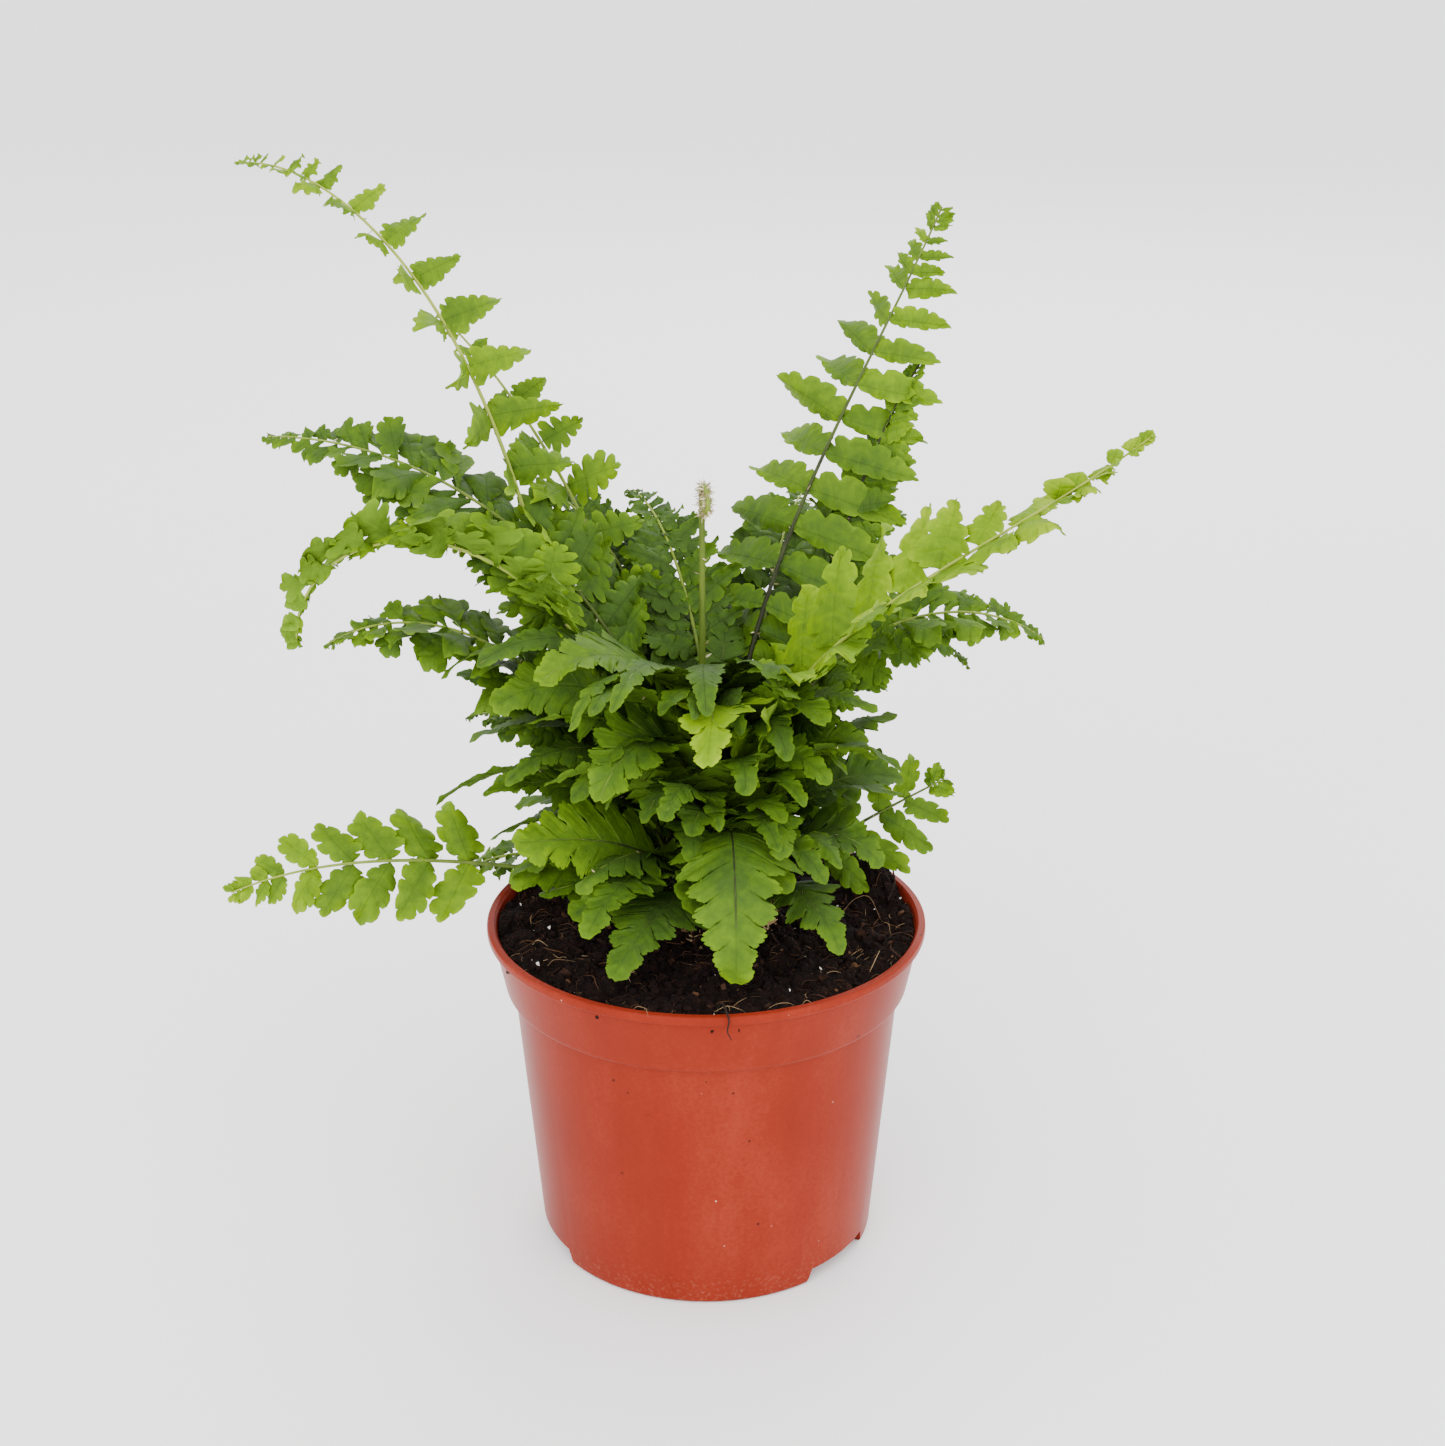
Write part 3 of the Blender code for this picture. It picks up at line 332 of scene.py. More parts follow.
class Graph:
    """A node tree whose nodes come from one method."""

    def __init__(self, tree):
        self.tree = tree

    def node(self, kind, settings=None, sockets=None, output=0):
        """Adds a node: its settings first, then the values or links of its sockets."""
        made = self.tree.nodes.new(kind)
        for name, value in (settings or {}).items():
            if name == "stops":
                self.set_stops(made.color_ramp, value)
            else:
                setattr(made, name, value)
        for name, value in (sockets or {}).items():
            for one in value if isinstance(value, list) else [value]:
                if isinstance(one, Value):
                    self.tree.links.new(one.socket, made.inputs[name])
                else:
                    made.inputs[name].default_value = one
        return Value(self, made.outputs[output]) if len(made.outputs) else None

    def set_stops(self, ramp, stops):
        while len(ramp.elements) > 1:
            ramp.elements.remove(ramp.elements[-1])
        for k, (place, colour) in enumerate(stops):
            stop = ramp.elements[0] if k == 0 else ramp.elements.new(place)
            stop.position = place
            stop.color = colour

    def math(self, operation, first, second):
        return self.node("ShaderNodeMath", {"operation": operation}, {0: first, 1: second})

    def clamp(self, value):
        return self.node("ShaderNodeClamp", {}, {"Value": value})

    def smooth(self, value, low, high):
        """Rises softly from 0 to 1 as value goes from low to high."""
        return self.node("ShaderNodeMapRange", {"interpolation_type": "SMOOTHSTEP"},
                         {"Value": value, "From Min": low, "From Max": high})

    def vector(self, operation, first, second):
        return self.node("ShaderNodeVectorMath", {"operation": operation}, {0: first, 1: second})

    def scaled(self, vector, amount):
        return self.node("ShaderNodeVectorMath", {"operation": "SCALE"}, {0: vector, 3: amount})

    def parts(self, vector):
        first = self.node("ShaderNodeSeparateXYZ", {}, {0: vector})
        return [Value(self, socket) for socket in first.socket.node.outputs]


class Finish(Graph):
    """A material."""

    def __init__(self, name):
        self.material = bpy.data.materials.new(name)
        self.material.use_nodes = True
        self.material.node_tree.nodes.clear()
        super().__init__(self.material.node_tree)
        self.where = self.node("ShaderNodeTexCoord", output=3)

    def attribute(self, name, output=2):
        return self.node("ShaderNodeAttribute", {"attribute_name": name}, output=output)

    def grain(self, scale, detail=3.0, roughness=0.55, stretch=None):
        """Noise from 0 to 1, its scale in features per metre."""
        where = self.where
        if stretch:
            where = self.node("ShaderNodeMapping", {}, {"Vector": where, "Scale": stretch})
        return self.node("ShaderNodeTexNoise", {},
                         {"Vector": where, "Scale": scale, "Detail": detail, "Roughness": roughness})

    def specks(self, scale, size):
        """Scattered round specks: 1 inside a speck and 0 outside."""
        reach = self.node("ShaderNodeTexVoronoi", {}, {"Vector": self.where, "Scale": scale})
        return 1 - self.smooth(reach, size * 0.6, size)

    def mix(self, share, first, second):
        return self.node("ShaderNodeMix", {"data_type": "RGBA"},
                         {0: share, 6: first, 7: second}, output=2)

    def stained(self, colour, share, code):
        """The colour, covered by one tone as far as share says."""
        return self.mix(share, colour, linear(code))

    def ramp(self, value, *stops):
        """A colour that runs through tones, each at its own value."""
        return self.node("ShaderNodeValToRGB", {"stops": [(place, linear(code)) for place, code in stops]},
                         {0: value})

    def bump(self, height, distance, strength):
        return self.node("ShaderNodeBump", {},
                         {"Height": height, "Distance": distance, "Strength": strength})

    def surface(self, **sockets):
        named = {name.replace("_", " "): value for name, value in sockets.items()}
        shader = self.node("ShaderNodeBsdfPrincipled", {}, named)
        self.node("ShaderNodeOutputMaterial", {}, {"Surface": shader})
        return self.material


class Growth(Graph):
    """A geometry tree with named inputs for its sizes."""

    SOCKETS = {float: "NodeSocketFloat", int: "NodeSocketInt", "material": "NodeSocketMaterial",
               "collection": "NodeSocketCollection", "geometry": "NodeSocketGeometry"}

    def __init__(self, name, inputs):
        super().__init__(bpy.data.node_groups.new(name, "GeometryNodeTree"))
        self.keys = {}
        faces = self.tree.interface
        faces.new_socket("Geometry", in_out="INPUT", socket_type=self.SOCKETS["geometry"])
        for label, kind in inputs.items():
            made = faces.new_socket(label, in_out="INPUT", socket_type=self.SOCKETS[kind])
            self.keys[label] = made.identifier
        faces.new_socket("Geometry", in_out="OUTPUT", socket_type=self.SOCKETS["geometry"])
        entry = self.tree.nodes.new("NodeGroupInput")
        self.inputs = {socket.name: Value(self, socket) for socket in entry.outputs}

    def named(self, name, kind="FLOAT"):
        return self.node("GeometryNodeInputNamedAttribute", {"data_type": kind}, {"Name": name})

    def random(self, low, high, seed):
        if isinstance(low, tuple):
            return self.node("FunctionNodeRandomValue", {"data_type": "FLOAT_VECTOR"},
                             {0: low, 1: high, 8: seed})
        return self.node("FunctionNodeRandomValue", {"data_type": "FLOAT"},
                         {2: low, 3: high, 8: seed}, output=1)

    def toned(self, shapes):
        """Placed shapes, each with a tone of its own."""
        return self.node("GeometryNodeStoreNamedAttribute", {"data_type": "FLOAT", "domain": "INSTANCE"},
                         {"Geometry": shapes, "Name": "tone", "Value": self.random(0.0, 1.0, 9)})

    def paint(self, geometry, material):
        return self.node("GeometryNodeSetMaterial", {}, {"Geometry": geometry, "Material": material})

    def place(self, points, shelf, turn, size, **more):
        """A shape from a shelf on each point."""
        shapes = self.node("GeometryNodeCollectionInfo", {},
                           {"Collection": shelf, "Separate Children": True, "Reset Children": True})
        sockets = {"Points": points, "Instance": shapes, "Pick Instance": True, "Rotation": turn,
                   "Scale": size}
        sockets.update({name.replace("_", " "): value for name, value in more.items()})
        return self.node("GeometryNodeInstanceOnPoints", {}, sockets)

    def scatter(self, surface, density, seed, angles):
        """Points all over a surface, and which way each stands: outwards, turned by the angles."""
        spots = self.node("GeometryNodeDistributePointsOnFaces", {},
                          {"Mesh": surface, "Density": density, "Seed": seed})
        outward = Value(self, spots.socket.node.outputs["Rotation"])
        turn = self.node("FunctionNodeEulerToRotation", {}, {0: angles})
        return spots, self.node("FunctionNodeRotateRotation", {"rotation_space": "LOCAL"},
                                {"Rotation": outward, "Rotate By": turn})

    def tube(self, paths, sides, material):
        """A smooth tube along each path, as thick as the path's own width."""
        path = self.node("GeometryNodeMeshToCurve", {}, {0: paths})
        ring = self.node("GeometryNodeCurvePrimitiveCircle", {"mode": "RADIUS"},
                         {"Resolution": sides, "Radius": 1.0})
        tube = self.node("GeometryNodeCurveToMesh", {}, {"Curve": path, "Profile Curve": ring,
                                                        "Scale": self.named("stem_width"), "Fill Caps": True})
        return self.paint(self.node("GeometryNodeSetShadeSmooth", {}, {0: tube}), material)

    def close(self, geometry):
        leave = self.tree.nodes.new("NodeGroupOutput")
        self.tree.links.new(geometry.socket, leave.inputs[0])
        return self

    def grow(self, name, mesh, **inputs):
        """The plain mesh that the tree makes of a mesh."""
        seedling = add_object(name, mesh)
        step = seedling.modifiers.new(name, "NODES")
        step.node_group = self.tree
        for label, value in inputs.items():
            step[self.keys[label.replace("_", " ")]] = value
        made = plain_mesh(seedling)
        seedling.modifiers.clear()
        bpy.data.objects.remove(seedling, do_unlink=True)
        return made


# Meshes and pieces


def add_object(name, data):
    """An object in the scene."""
    item = bpy.data.objects.new(name, data)
    bpy.context.scene.collection.objects.link(item)
    return item


def plain_mesh(item):
    """The mesh that an object's modifiers make."""
    bpy.context.view_layer.update()
    return bpy.data.meshes.new_from_object(item.evaluated_get(bpy.context.evaluated_depsgraph_get()))


def linear(code):
    """A colour of light, with its alpha of 1, from its screen code, such as A9C33C."""
    shares = [int(code[k:k + 2], 16) / 255 for k in (0, 2, 4)]
    return (*((s / 12.92 if s < 0.04045 else ((s + 0.055) / 1.055) ** 2.4) for s in shares), 1.0)


def add_piece(name, mesh, slot, nodes=()):
    """Puts a finished mesh on the part's body."""
    mesh.name = name
    piece = add_object(name, mesh)
    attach(piece, "root")
    if nodes:
        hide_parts(*nodes)


def finished_mesh(work, name):
    """A mesh of what was built in a work mesh."""
    mesh = bpy.data.meshes.new(name)
    work.to_mesh(mesh)
    work.free()
    return mesh


def mended(mesh, merge=0.0):
    """The mesh with its faces outwards, after corners closer than merge have become one."""
    work = bmesh.new()
    work.from_mesh(mesh)
    if merge:
        bmesh.ops.remove_doubles(work, verts=work.verts, dist=merge)
    bmesh.ops.recalc_face_normals(work, faces=work.faces)
    work.to_mesh(mesh)
    work.free()
    return mesh


def unit(vector):
    return vector / np.linalg.norm(vector)


def path_mesh(name, lines, **fields):
    """A mesh of edge paths. Each field has one value for each point, line by line."""
    points = [tuple(point) for line in lines for point in line]
    edges = []
    start = 0
    for line in lines:
        edges += [(start + k, start + k + 1) for k in range(len(line) - 1)]
        start += len(line)
    mesh = bpy.data.meshes.new(name)
    mesh.from_pydata(points, edges, [])
    for label, values in fields.items():
        add_field(mesh, label, "FLOAT", values)
    return mesh


def add_field(mesh, label, kind, values, domain="POINT"):
    """A named attribute with one value for each point or face."""
    field = mesh.attributes.new(label, kind, domain)
    key = "vector" if kind == "FLOAT_VECTOR" else "value"
    field.data.foreach_set(key, np.array(values, dtype=float if kind != "INT" else int).ravel())


PATH_STEPS = 8


def smooth_path(points):
    """A smooth line through points."""
    points = [np.array(point, dtype=float) for point in points]
    ends = [2 * points[0] - points[1]] + points + [2 * points[-1] - points[-2]]
    found = []
    for a, b, c, d in zip(ends, ends[1:], ends[2:], ends[3:]):
        for step in range(PATH_STEPS):
            t = step / PATH_STEPS
            found.append(0.5 * (2 * b + (c - a) * t + (2 * a - 5 * b + 4 * c - d) * t * t
                                + (3 * b - a - 3 * c + d) * t ** 3))
    found.append(points[-1])
    return found


# Finishes


def leaf_finish(name, shift):
    """Green leaf: paler margins and tips, a dark midrib above, a duller and paler underside."""
    leaf = Finish(name)
    run, reach, off_vein = leaf.parts(leaf.attribute("leaf_place", 1))
    tone = leaf.attribute("tone")
    under = leaf.attribute("underside")
    cloud = leaf.grain(95, 2.0)
    mottle = leaf.grain(420, 3.0)
    margin = leaf.smooth(reach, 0.62, 1.0)
    tip = leaf.smooth(run, 0.45, 1.05)
    centre = 1 - leaf.smooth(reach, 0.0, 0.6)
    midrib = 1 - leaf.smooth(reach, 0.0, 0.055)
    vein = (1 - leaf.smooth(off_vein, 0.05, 0.42)) * (1 - leaf.smooth(reach, 0.55, 0.95))
    ripe = tone * 0.82 + shift + margin * 0.13 + tip * 0.12
    ripe = ripe + (cloud - 0.5) * 0.42 + (mottle - 0.5) * 0.42 + vein * 0.05
    ripe = ripe - centre * 0.07
    above = leaf.ramp(ripe - midrib * 0.03, (0.0, "2B3D18"), (0.25, "38511A"), (0.50, "4B6815"),
                      (0.75, "658507"), (1.0, "849E16"))
    below = leaf.ramp(ripe + midrib * 0.10 + vein * 0.05, (0.0, "394F1B"), (0.35, "49651A"),
                      (0.7, "5F801B"), (1.0, "799728"))
    colour = leaf.mix(under, above, below)
    browning = leaf.smooth(leaf.grain(60, 4.0, 0.7), 0.68, 0.82) * (1 - tone) * 0.3
    colour = leaf.stained(colour, browning, "6E5A26")
    height = (0 - midrib) * 0.4 - vein * 0.4 + (mottle - 0.5) * 0.7 + leaf.grain(1500, 2.0) * 0.15
    height = height * (1 - under * 1.6)
    return leaf.surface(Base_Color=colour, Roughness=0.42 + mottle * 0.16 + under * 0.12,
                        Specular_IOR_Level=0.05, Normal=leaf.bump(height, 0.35 * MM, 0.8))


def stem_finish():
    """Stipe and rachis: green or straw, browner to nearly black on some fronds, streaked along."""
    stem = Finish("frond_stem")
    run = stem.attribute("stem_run")
    brown = stem.attribute("brown")
    streak = stem.grain(260, 4.0, 0.6, (1, 1, 0.18))
    depth = brown * 1.05 + (0.55 - run) * 0.6 + (streak - 0.5) * 0.38
    colour = stem.ramp(depth, (0.0, "8E9C3A"), (0.25, "74862C"), (0.45, "485A1C"), (0.68, "23260F"),
                       (1.0, "0D0F08"))
    return stem.surface(Base_Color=colour, Roughness=0.45 + streak * 0.2, Specular_IOR_Level=0.2,
                        Normal=stem.bump(streak, 0.15 * MM, 0.7))


def hair_finish():
    """Straw-coloured scales and hairs, each with its own tone."""
    hair = Finish("frond_scales")
    tone = hair.attribute("tone") + hair.grain(500) * 0.3
    colour = hair.ramp(tone, (0.0, "6B5433"), (0.5, "9C8860"), (1.0, "C8BC98"))
    return hair.surface(Base_Color=colour, Roughness=0.7)


def pot_finish():
    """Satin terracotta plastic: flow marks, dust at the foot, soil stains inside by the compost."""
    pot = Finish("terracotta_plastic")
    x, y, z = pot.parts(pot.where)
    cloud = pot.grain(28, 3.0)
    flow = pot.grain(70, 4.0, 0.6, (1, 1, 0.22))
    dust = pot.grain(900, 3.0, 0.7)
    shade = 0.5 + (cloud - 0.5) * 0.45 + (flow - 0.5) * 0.5 + (dust - 0.5) * 0.4
    colour = pot.ramp(shade, (0.0, "661A0D"), (0.5, "7B2516"), (1.0, "953C2B"))
    reach = (x * x + y * y) ** 0.5
    inside = pot.smooth(0 - reach, -57.3 * MM, -56.4 * MM) * pot.smooth(z, 85 * MM, 88 * MM)
    stain = pot.smooth(pot.grain(160, 5.0, 0.75), 0.50, 0.66)
    grime = inside * (0.25 + stain * 0.7)
    foot_dust = (1 - pot.smooth(z, 0.5 * MM, 12 * MM)) * pot.smooth(dust, 0.50, 0.75) * 0.35
    dark_specks = pot.specks(140, 0.075) * pot.smooth(cloud, 0.46, 0.58)
    pale_specks = pot.specks(160, 0.05) * pot.smooth(flow, 0.52, 0.62) * 0.6
    colour = pot.stained(colour, pale_specks, "E3B9A2")
    colour = pot.stained(colour, foot_dust, "8A6A55")
    colour = pot.stained(colour, pot.clamp(grime + dark_specks * 0.8), "2B1A13")
    rough = 0.32 + (flow - 0.5) * 0.12 + (dust - 0.5) * 0.10 + grime * 0.4
    height = dust * 0.25 + cloud * 0.6 + grime * 0.5
    return pot.surface(Base_Color=colour, Roughness=rough, Specular_IOR_Level=0.045,
                       Normal=pot.bump(height, 0.12 * MM, 0.35))


def compost_finish():
    """Nearly black crumbs with brown fibres, each crumb with its own tone."""
    soil = Finish("compost_crumb")
    tone = soil.attribute("tone")
    crumb = soil.grain(330, 6.0, 0.72)
    fibre = soil.grain(520, 4.0, 0.65, (1, 0.25, 1))
    colour = soil.ramp(crumb * 0.75 + fibre * 0.25 + tone * 0.28 - 0.12, (0.0, "060303"), (0.40, "110A08"),
                       (0.62, "1E120E"), (0.80, "3C251A"), (1.0, "6B4A32"))
    return soil.surface(Base_Color=colour, Roughness=0.92, Specular_IOR_Level=0.1,
                        Normal=soil.bump(crumb * 0.8 + fibre * 0.5, 1.2 * MM, 0.9))


def plain_finish(name, scale, roughness, *stops):
    """Tones that drift with a fine grain and with each piece's own tone."""
    made = Finish(name)
    grain = made.grain(scale, 4.0, 0.65)
    colour = made.ramp(made.attribute("tone") * 0.5 + grain * 0.5, *stops)
    return made.surface(Base_Color=colour, Roughness=roughness, Specular_IOR_Level=0.2,
                        Normal=made.bump(grain, 0.2 * MM, 0.6))


# Leaflets

# Steps through a lobe where its margin has a corner
ROUND_STEPS = (0.0, 0.09, 0.34, 0.66, 0.91)
CRENATE_STEPS = (0.0, 0.2, 0.5, 0.8)
# Outlines of one side: how far along the leaflet and how far out, for a length and a width of 1
OBLONG = ((0, 0.08), (0.06, 0.22), (0.22, 0.42), (0.48, 0.52), (0.72, 0.52),
          (0.89, 0.40), (0.98, 0.20), (1, 0))
OVATE = ((0, 0.10), (0.03, 0.38), (0.14, 0.56), (0.36, 0.51), (0.60, 0.39),
         (0.80, 0.25), (0.95, 0.11), (1, 0))
EARED = ((0, 0.10), (-0.02, 0.42), (0.10, 0.66), (0.30, 0.48), (0.56, 0.40),
         (0.78, 0.27), (0.94, 0.12), (1, 0))
LANCE = ((0, 0.12), (0.01, 0.40), (0.12, 0.53), (0.34, 0.46), (0.60, 0.33),
         (0.82, 0.18), (0.96, 0.06), (1, 0))
WEDGE = ((0, 0.05), (0.20, 0.09), (0.38, 0.24), (0.58, 0.46), (0.78, 0.56),
         (0.92, 0.46), (1.0, 0.22), (1, 0))
ARCHED = ((0, 0.12), (0.0, 0.38), (0.14, 0.64), (0.40, 0.68), (0.64, 0.56),
          (0.84, 0.34), (0.96, 0.14), (1, 0))
FLAT = ((0, 0.08), (0.08, 0.18), (0.30, 0.30), (0.56, 0.28), (0.80, 0.18), (0.95, 0.06), (1, 0))
# Outlines towards the frond's tip and towards its base, lobes on each side, how deep they are cut,
# how much larger the first ones are, and the steps through a lobe.
PLAN_COLUMNS = ("near", "far", "lobes", "depth", "crowd", "steps")
LEAFLET_PLANS = {
    "lobed": ((EARED, OVATE, 6.5, 0.55, 1.25, ROUND_STEPS), (OVATE, OVATE, 5.5, 0.62, 1.20, ROUND_STEPS),
              (OBLONG, OVATE, 5.5, 0.57, 1.00, ROUND_STEPS), (EARED, OBLONG, 6.5, 0.59, 1.15, ROUND_STEPS)),
    "eared": ((EARED, EARED, 6.5, 0.38, 1.45, CRENATE_STEPS), (EARED, LANCE, 5.5, 0.44, 1.50, CRENATE_STEPS),
              (LANCE, EARED, 6.5, 0.34, 1.35, CRENATE_STEPS)),
    "lance": ((LANCE, LANCE, 7.5, 0.24, 1.20, CRENATE_STEPS), (LANCE, OVATE, 6.5, 0.28, 1.25, CRENATE_STEPS),
              (OVATE, LANCE, 7.5, 0.24, 1.10, CRENATE_STEPS)),
    "scallop": ((ARCHED, FLAT, 5.5, 0.24, 1.00, CRENATE_STEPS),
                (ARCHED, FLAT, 6.5, 0.28, 1.10, CRENATE_STEPS),
                (ARCHED, LANCE, 5.5, 0.28, 1.10, CRENATE_STEPS)),
    "wedge": ((WEDGE, WEDGE, 3.5, 0.46, 0.80, ROUND_STEPS), (WEDGE, OBLONG, 4.5, 0.44, 0.85, ROUND_STEPS),
              (OBLONG, WEDGE, 4.5, 0.42, 0.90, ROUND_STEPS)),
    "oblong": ((OBLONG, OBLONG, 4.5, 0.34, 0.80, ROUND_STEPS), (OBLONG, OVATE, 4.5, 0.38, 0.85, ROUND_STEPS),
               (OVATE, OBLONG, 5.5, 0.32, 0.85, ROUND_STEPS)),
    "round": ((OBLONG, OBLONG, 2.5, 0.16, 1.00, CRENATE_STEPS),
              (OVATE, OVATE, 2.5, 0.18, 1.00, CRENATE_STEPS)),
}
LOBE_WAVE = 0.8 * MM
LOBE_SQUARENESS = 2.2
LOBE_UNEVENNESS = 0.35
LAST_STATION = 0.999
RIB_START = 0.02
RIB_REACH = 0.86
MIDDLE_SHARE = 0.52
MIDDLE_LIMIT = 0.86

# Young blades: one sheet, cut into lobes with a few rounded teeth each
BLADE_SHARES = ((0, 0.14, 0.32, 0.52, 0.72, 0.90, 1), (0.80, 1, 0.92, 0.68, 0.46, 0.31, 0.18))
BLADE_COLUMNS = (0.3, 0.64)
BLADE_WAVE = 0.8 * MM
BLADE_CUP_REACH = 12 * MM
BLADE_LEAST_REACH = 0.6 * MM
BEND_SHARE = 0.8
LOBE_SIZES = (0.82, 1.12)
LOBE_SQUARING = 0.8
LOBE_BLUNTNESS = 0.75
LOBE_SLANT = 0.4
YOUNG_TEETH = 4
TOOTH_STEPS = 4
TOOTH_DEPTH = 1.1 * MM
TOOTH_FULL_REACH = 9 * MM
BLADE_CUPS_MM = (-1.0, 2.6)
BLADE_TIP_MM = 1.2


def outline_points(corners, shares):
    """Points of a smooth line through corners, at shares of its length."""
    line = np.array(smooth_path([(x, y, 0) for x, y in corners]))[:, :2]
    run = np.concatenate([[0], np.cumsum(np.linalg.norm(np.diff(line, axis=0), axis=1))])
    run /= run[-1]
    return [np.array([np.interp(share, run, line[:, k]) for k in (0, 1)]) for share in shares]


def lobe_stations(plan):
    """Shares of the margin's length, each with its step through its lobe and the lobe's number."""
    found = []
    for k in range(math.ceil(plan["lobes"])):
        for step in plan["steps"]:
            share = (k + step) / plan["lobes"]
            if share < LAST_STATION:
                found.append((1 - (1 - share) ** plan["crowd"], step, k))
    return found


def hump(step):
    """A rounded lobe: 0 where it starts and ends, 1 in its middle."""
    return max(0.0, 1 - abs(2 * step - 1) ** LOBE_SQUARENESS) ** 0.5


def leaf_cells(base, tip, lines, flip):
    """The faces between lines of corners that all start at base and end at tip."""
    cells = []
    for a, b in zip(lines, lines[1:]):
        cells.append((base, a[0], b[0]))
        cells += [(a[k], a[k + 1], b[k + 1], b[k]) for k in range(len(a) - 1)]
        cells.append((a[-1], tip, b[-1]))
    return [tuple(reversed(cell)) if flip else cell for cell in cells]


class LeafCorners:
    """The corners and fields of a leaf as it is built."""

    def __init__(self):
        self.spots, self.places, self.sides, self.ways, self.faces, self.under = [], [], [], [], [], []
        self.rim = set()

    def add(self, spot, place, side=0.0, way=(0.0, 0.0, 1.0), margin=False):
        self.spots.append(tuple(spot))
        self.places.append(place)
        self.sides.append(side)
        self.ways.append(tuple(way))
        if margin:
            self.rim.add(len(self.spots) - 1)
        return len(self.spots) - 1

    def close(self, base, tip, lines, level, flip):
        cells = leaf_cells(base, tip, lines, flip)
        self.faces += cells
        self.under += [0.0 if level > 0 else 1.0] * len(cells)


def leaflet_mesh(name, plan, seed, mirrored):
    """A thin closed leaflet, one long and one wide, its rib along +X and its upper face up."""
    leaf = LeafCorners()
    turn = -1 if mirrored else 1
    tall = LEAF_THICKNESS / 2
    stations = lobe_stations(plan)
    shares = [share for share, step, number in stations]
    base = leaf.add((0, 0, 0), (0, 0.3, 1), margin=True)
    tip = leaf.add((1, 0, 0), (1, 1, 1), margin=True)
    ribs = {level: [leaf.add((RIB_START + RIB_REACH * share, 0, level * tall * (1 - 0.5 * share)),
                             (share, 0, abs(2 * step - 1))) for share, step, number in stations]
            for level in (1, -1)}
    for side in (1, -1):
        edge, middles = [], {1: [], -1: []}
        outline = outline_points(plan["near" if side > 0 else "far"], shares)
        for (share, step, number), full in zip(stations, outline):
            off = abs(2 * step - 1)
            swing = math.sin(number * 2.4 + seed * 1.7 + side)
            cut = plan["depth"] * (1 + LOBE_UNEVENNESS * swing) * (1 - 0.2 * share) * (1 - hump(step))
            root = np.array([RIB_START + RIB_REACH * share, 0])
            out = root + (full - root) * (1 - cut)
            half = root + (full - root) * min(MIDDLE_SHARE, MIDDLE_LIMIT * (1 - cut))
            wave = LOBE_WAVE * swing * hump(step)
            edge.append(leaf.add((out[0], turn * side * out[1], wave), (share, 1, off), side, margin=True))
            for level in (1, -1):
                height = level * tall * 0.8 * (1 - 0.5 * share) + wave * 0.2
                middles[level].append(leaf.add((half[0], turn * side * half[1], height),
                                               (share, 0.5, off), side * 0.5))
        for level in (1, -1):
            leaf.close(base, tip, [ribs[level], middles[level], edge], level, side * level * turn < 0)
    mesh = bpy.data.meshes.new(name)
    mesh.from_pydata(leaf.spots, [], leaf.faces)
    set_leaf_fields(mesh, leaf)
    add_field(mesh, "leaf_place", "FLOAT_VECTOR", leaf.places)
    add_field(mesh, "leaf_side", "FLOAT", leaf.sides)
    return mesh


def set_leaf_fields(mesh, leaf, start=0):
    """Smooth shading but for the rim, and which faces are the underside. Its corners begin at start."""
    mesh.shade_smooth()
    rim = {start + corner for corner in leaf.rim}
    sharp = [pair.vertices[0] in rim and pair.vertices[1] in rim for pair in mesh.edges]
    mesh.attributes.new("sharp_edge", "BOOLEAN", "EDGE").data.foreach_set("value", sharp)
    add_field(mesh, "underside", "FLOAT", leaf.under, "FACE")


def seed_shelf(name, meshes):
    """A collection of shapes for a tree to place. Their names keep their order."""
    shelf = bpy.data.collections.new(name)
    bpy.context.scene.collection.children.link(shelf)
    for k, mesh in enumerate(meshes):
        shelf.objects.link(bpy.data.objects.new(f"{name}_{k:02d}", mesh))
    return shelf


def clear_shelf(shelf):
    """Removes a shelf and the shapes on it."""
    for item in list(shelf.objects):
        bpy.data.objects.remove(item, do_unlink=True)
    bpy.data.collections.remove(shelf)


def leaflet_shelf():
    """Every leaflet shape, plain and mirrored, and where each form starts on the shelf."""
    meshes, starts = [], {}
    for form, rows in LEAFLET_PLANS.items():
        starts[form] = (len(meshes), len(rows))
        plans = [dict(zip(PLAN_COLUMNS, row)) for row in rows]
        for mirrored in (False, True):
            meshes += [leaflet_mesh(f"{form}_leaflet", plan, k + len(meshes), mirrored)
                       for k, plan in enumerate(plans)]
    return seed_shelf("leaflets", meshes), starts


# Frond form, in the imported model's measures


def crown_surface(reach):
    """Height of the crown's top at a distance from its middle."""
    return SOIL_LEVEL + SOIL_MOUND + CROWN_TOP * math.sqrt(max(0, 1 - (reach / CROWN_RADIUS) ** 2))


def seat_bottom():
    """Height of the floor of the fronds' seats."""
    return SOIL_LEVEL + SOIL_MOUND - CROWN_DEPTH + SEAT_FLOOR


def frond_seats(rows):
    """Seats on the crown: even steps round each ring, in the order of the azimuths."""
    seats = {}
    for ring, radius in enumerate(SEAT_RADII):
        members = sorted((row["azimuth"] % 360, row["name"]) for row in rows if row["ring"] == ring)
        step = 360 / len(members)
        offsets = [azimuth - step * k for k, (azimuth, name) in enumerate(members)]
        start = sum(offsets) / len(offsets)
        for k, (azimuth, name) in enumerate(members):
            angle = math.radians(start + step * k)
            seats[name] = (CROWN_PLACE[0] + radius * math.cos(angle),
                           CROWN_PLACE[1] + radius * math.sin(angle))
    return seats


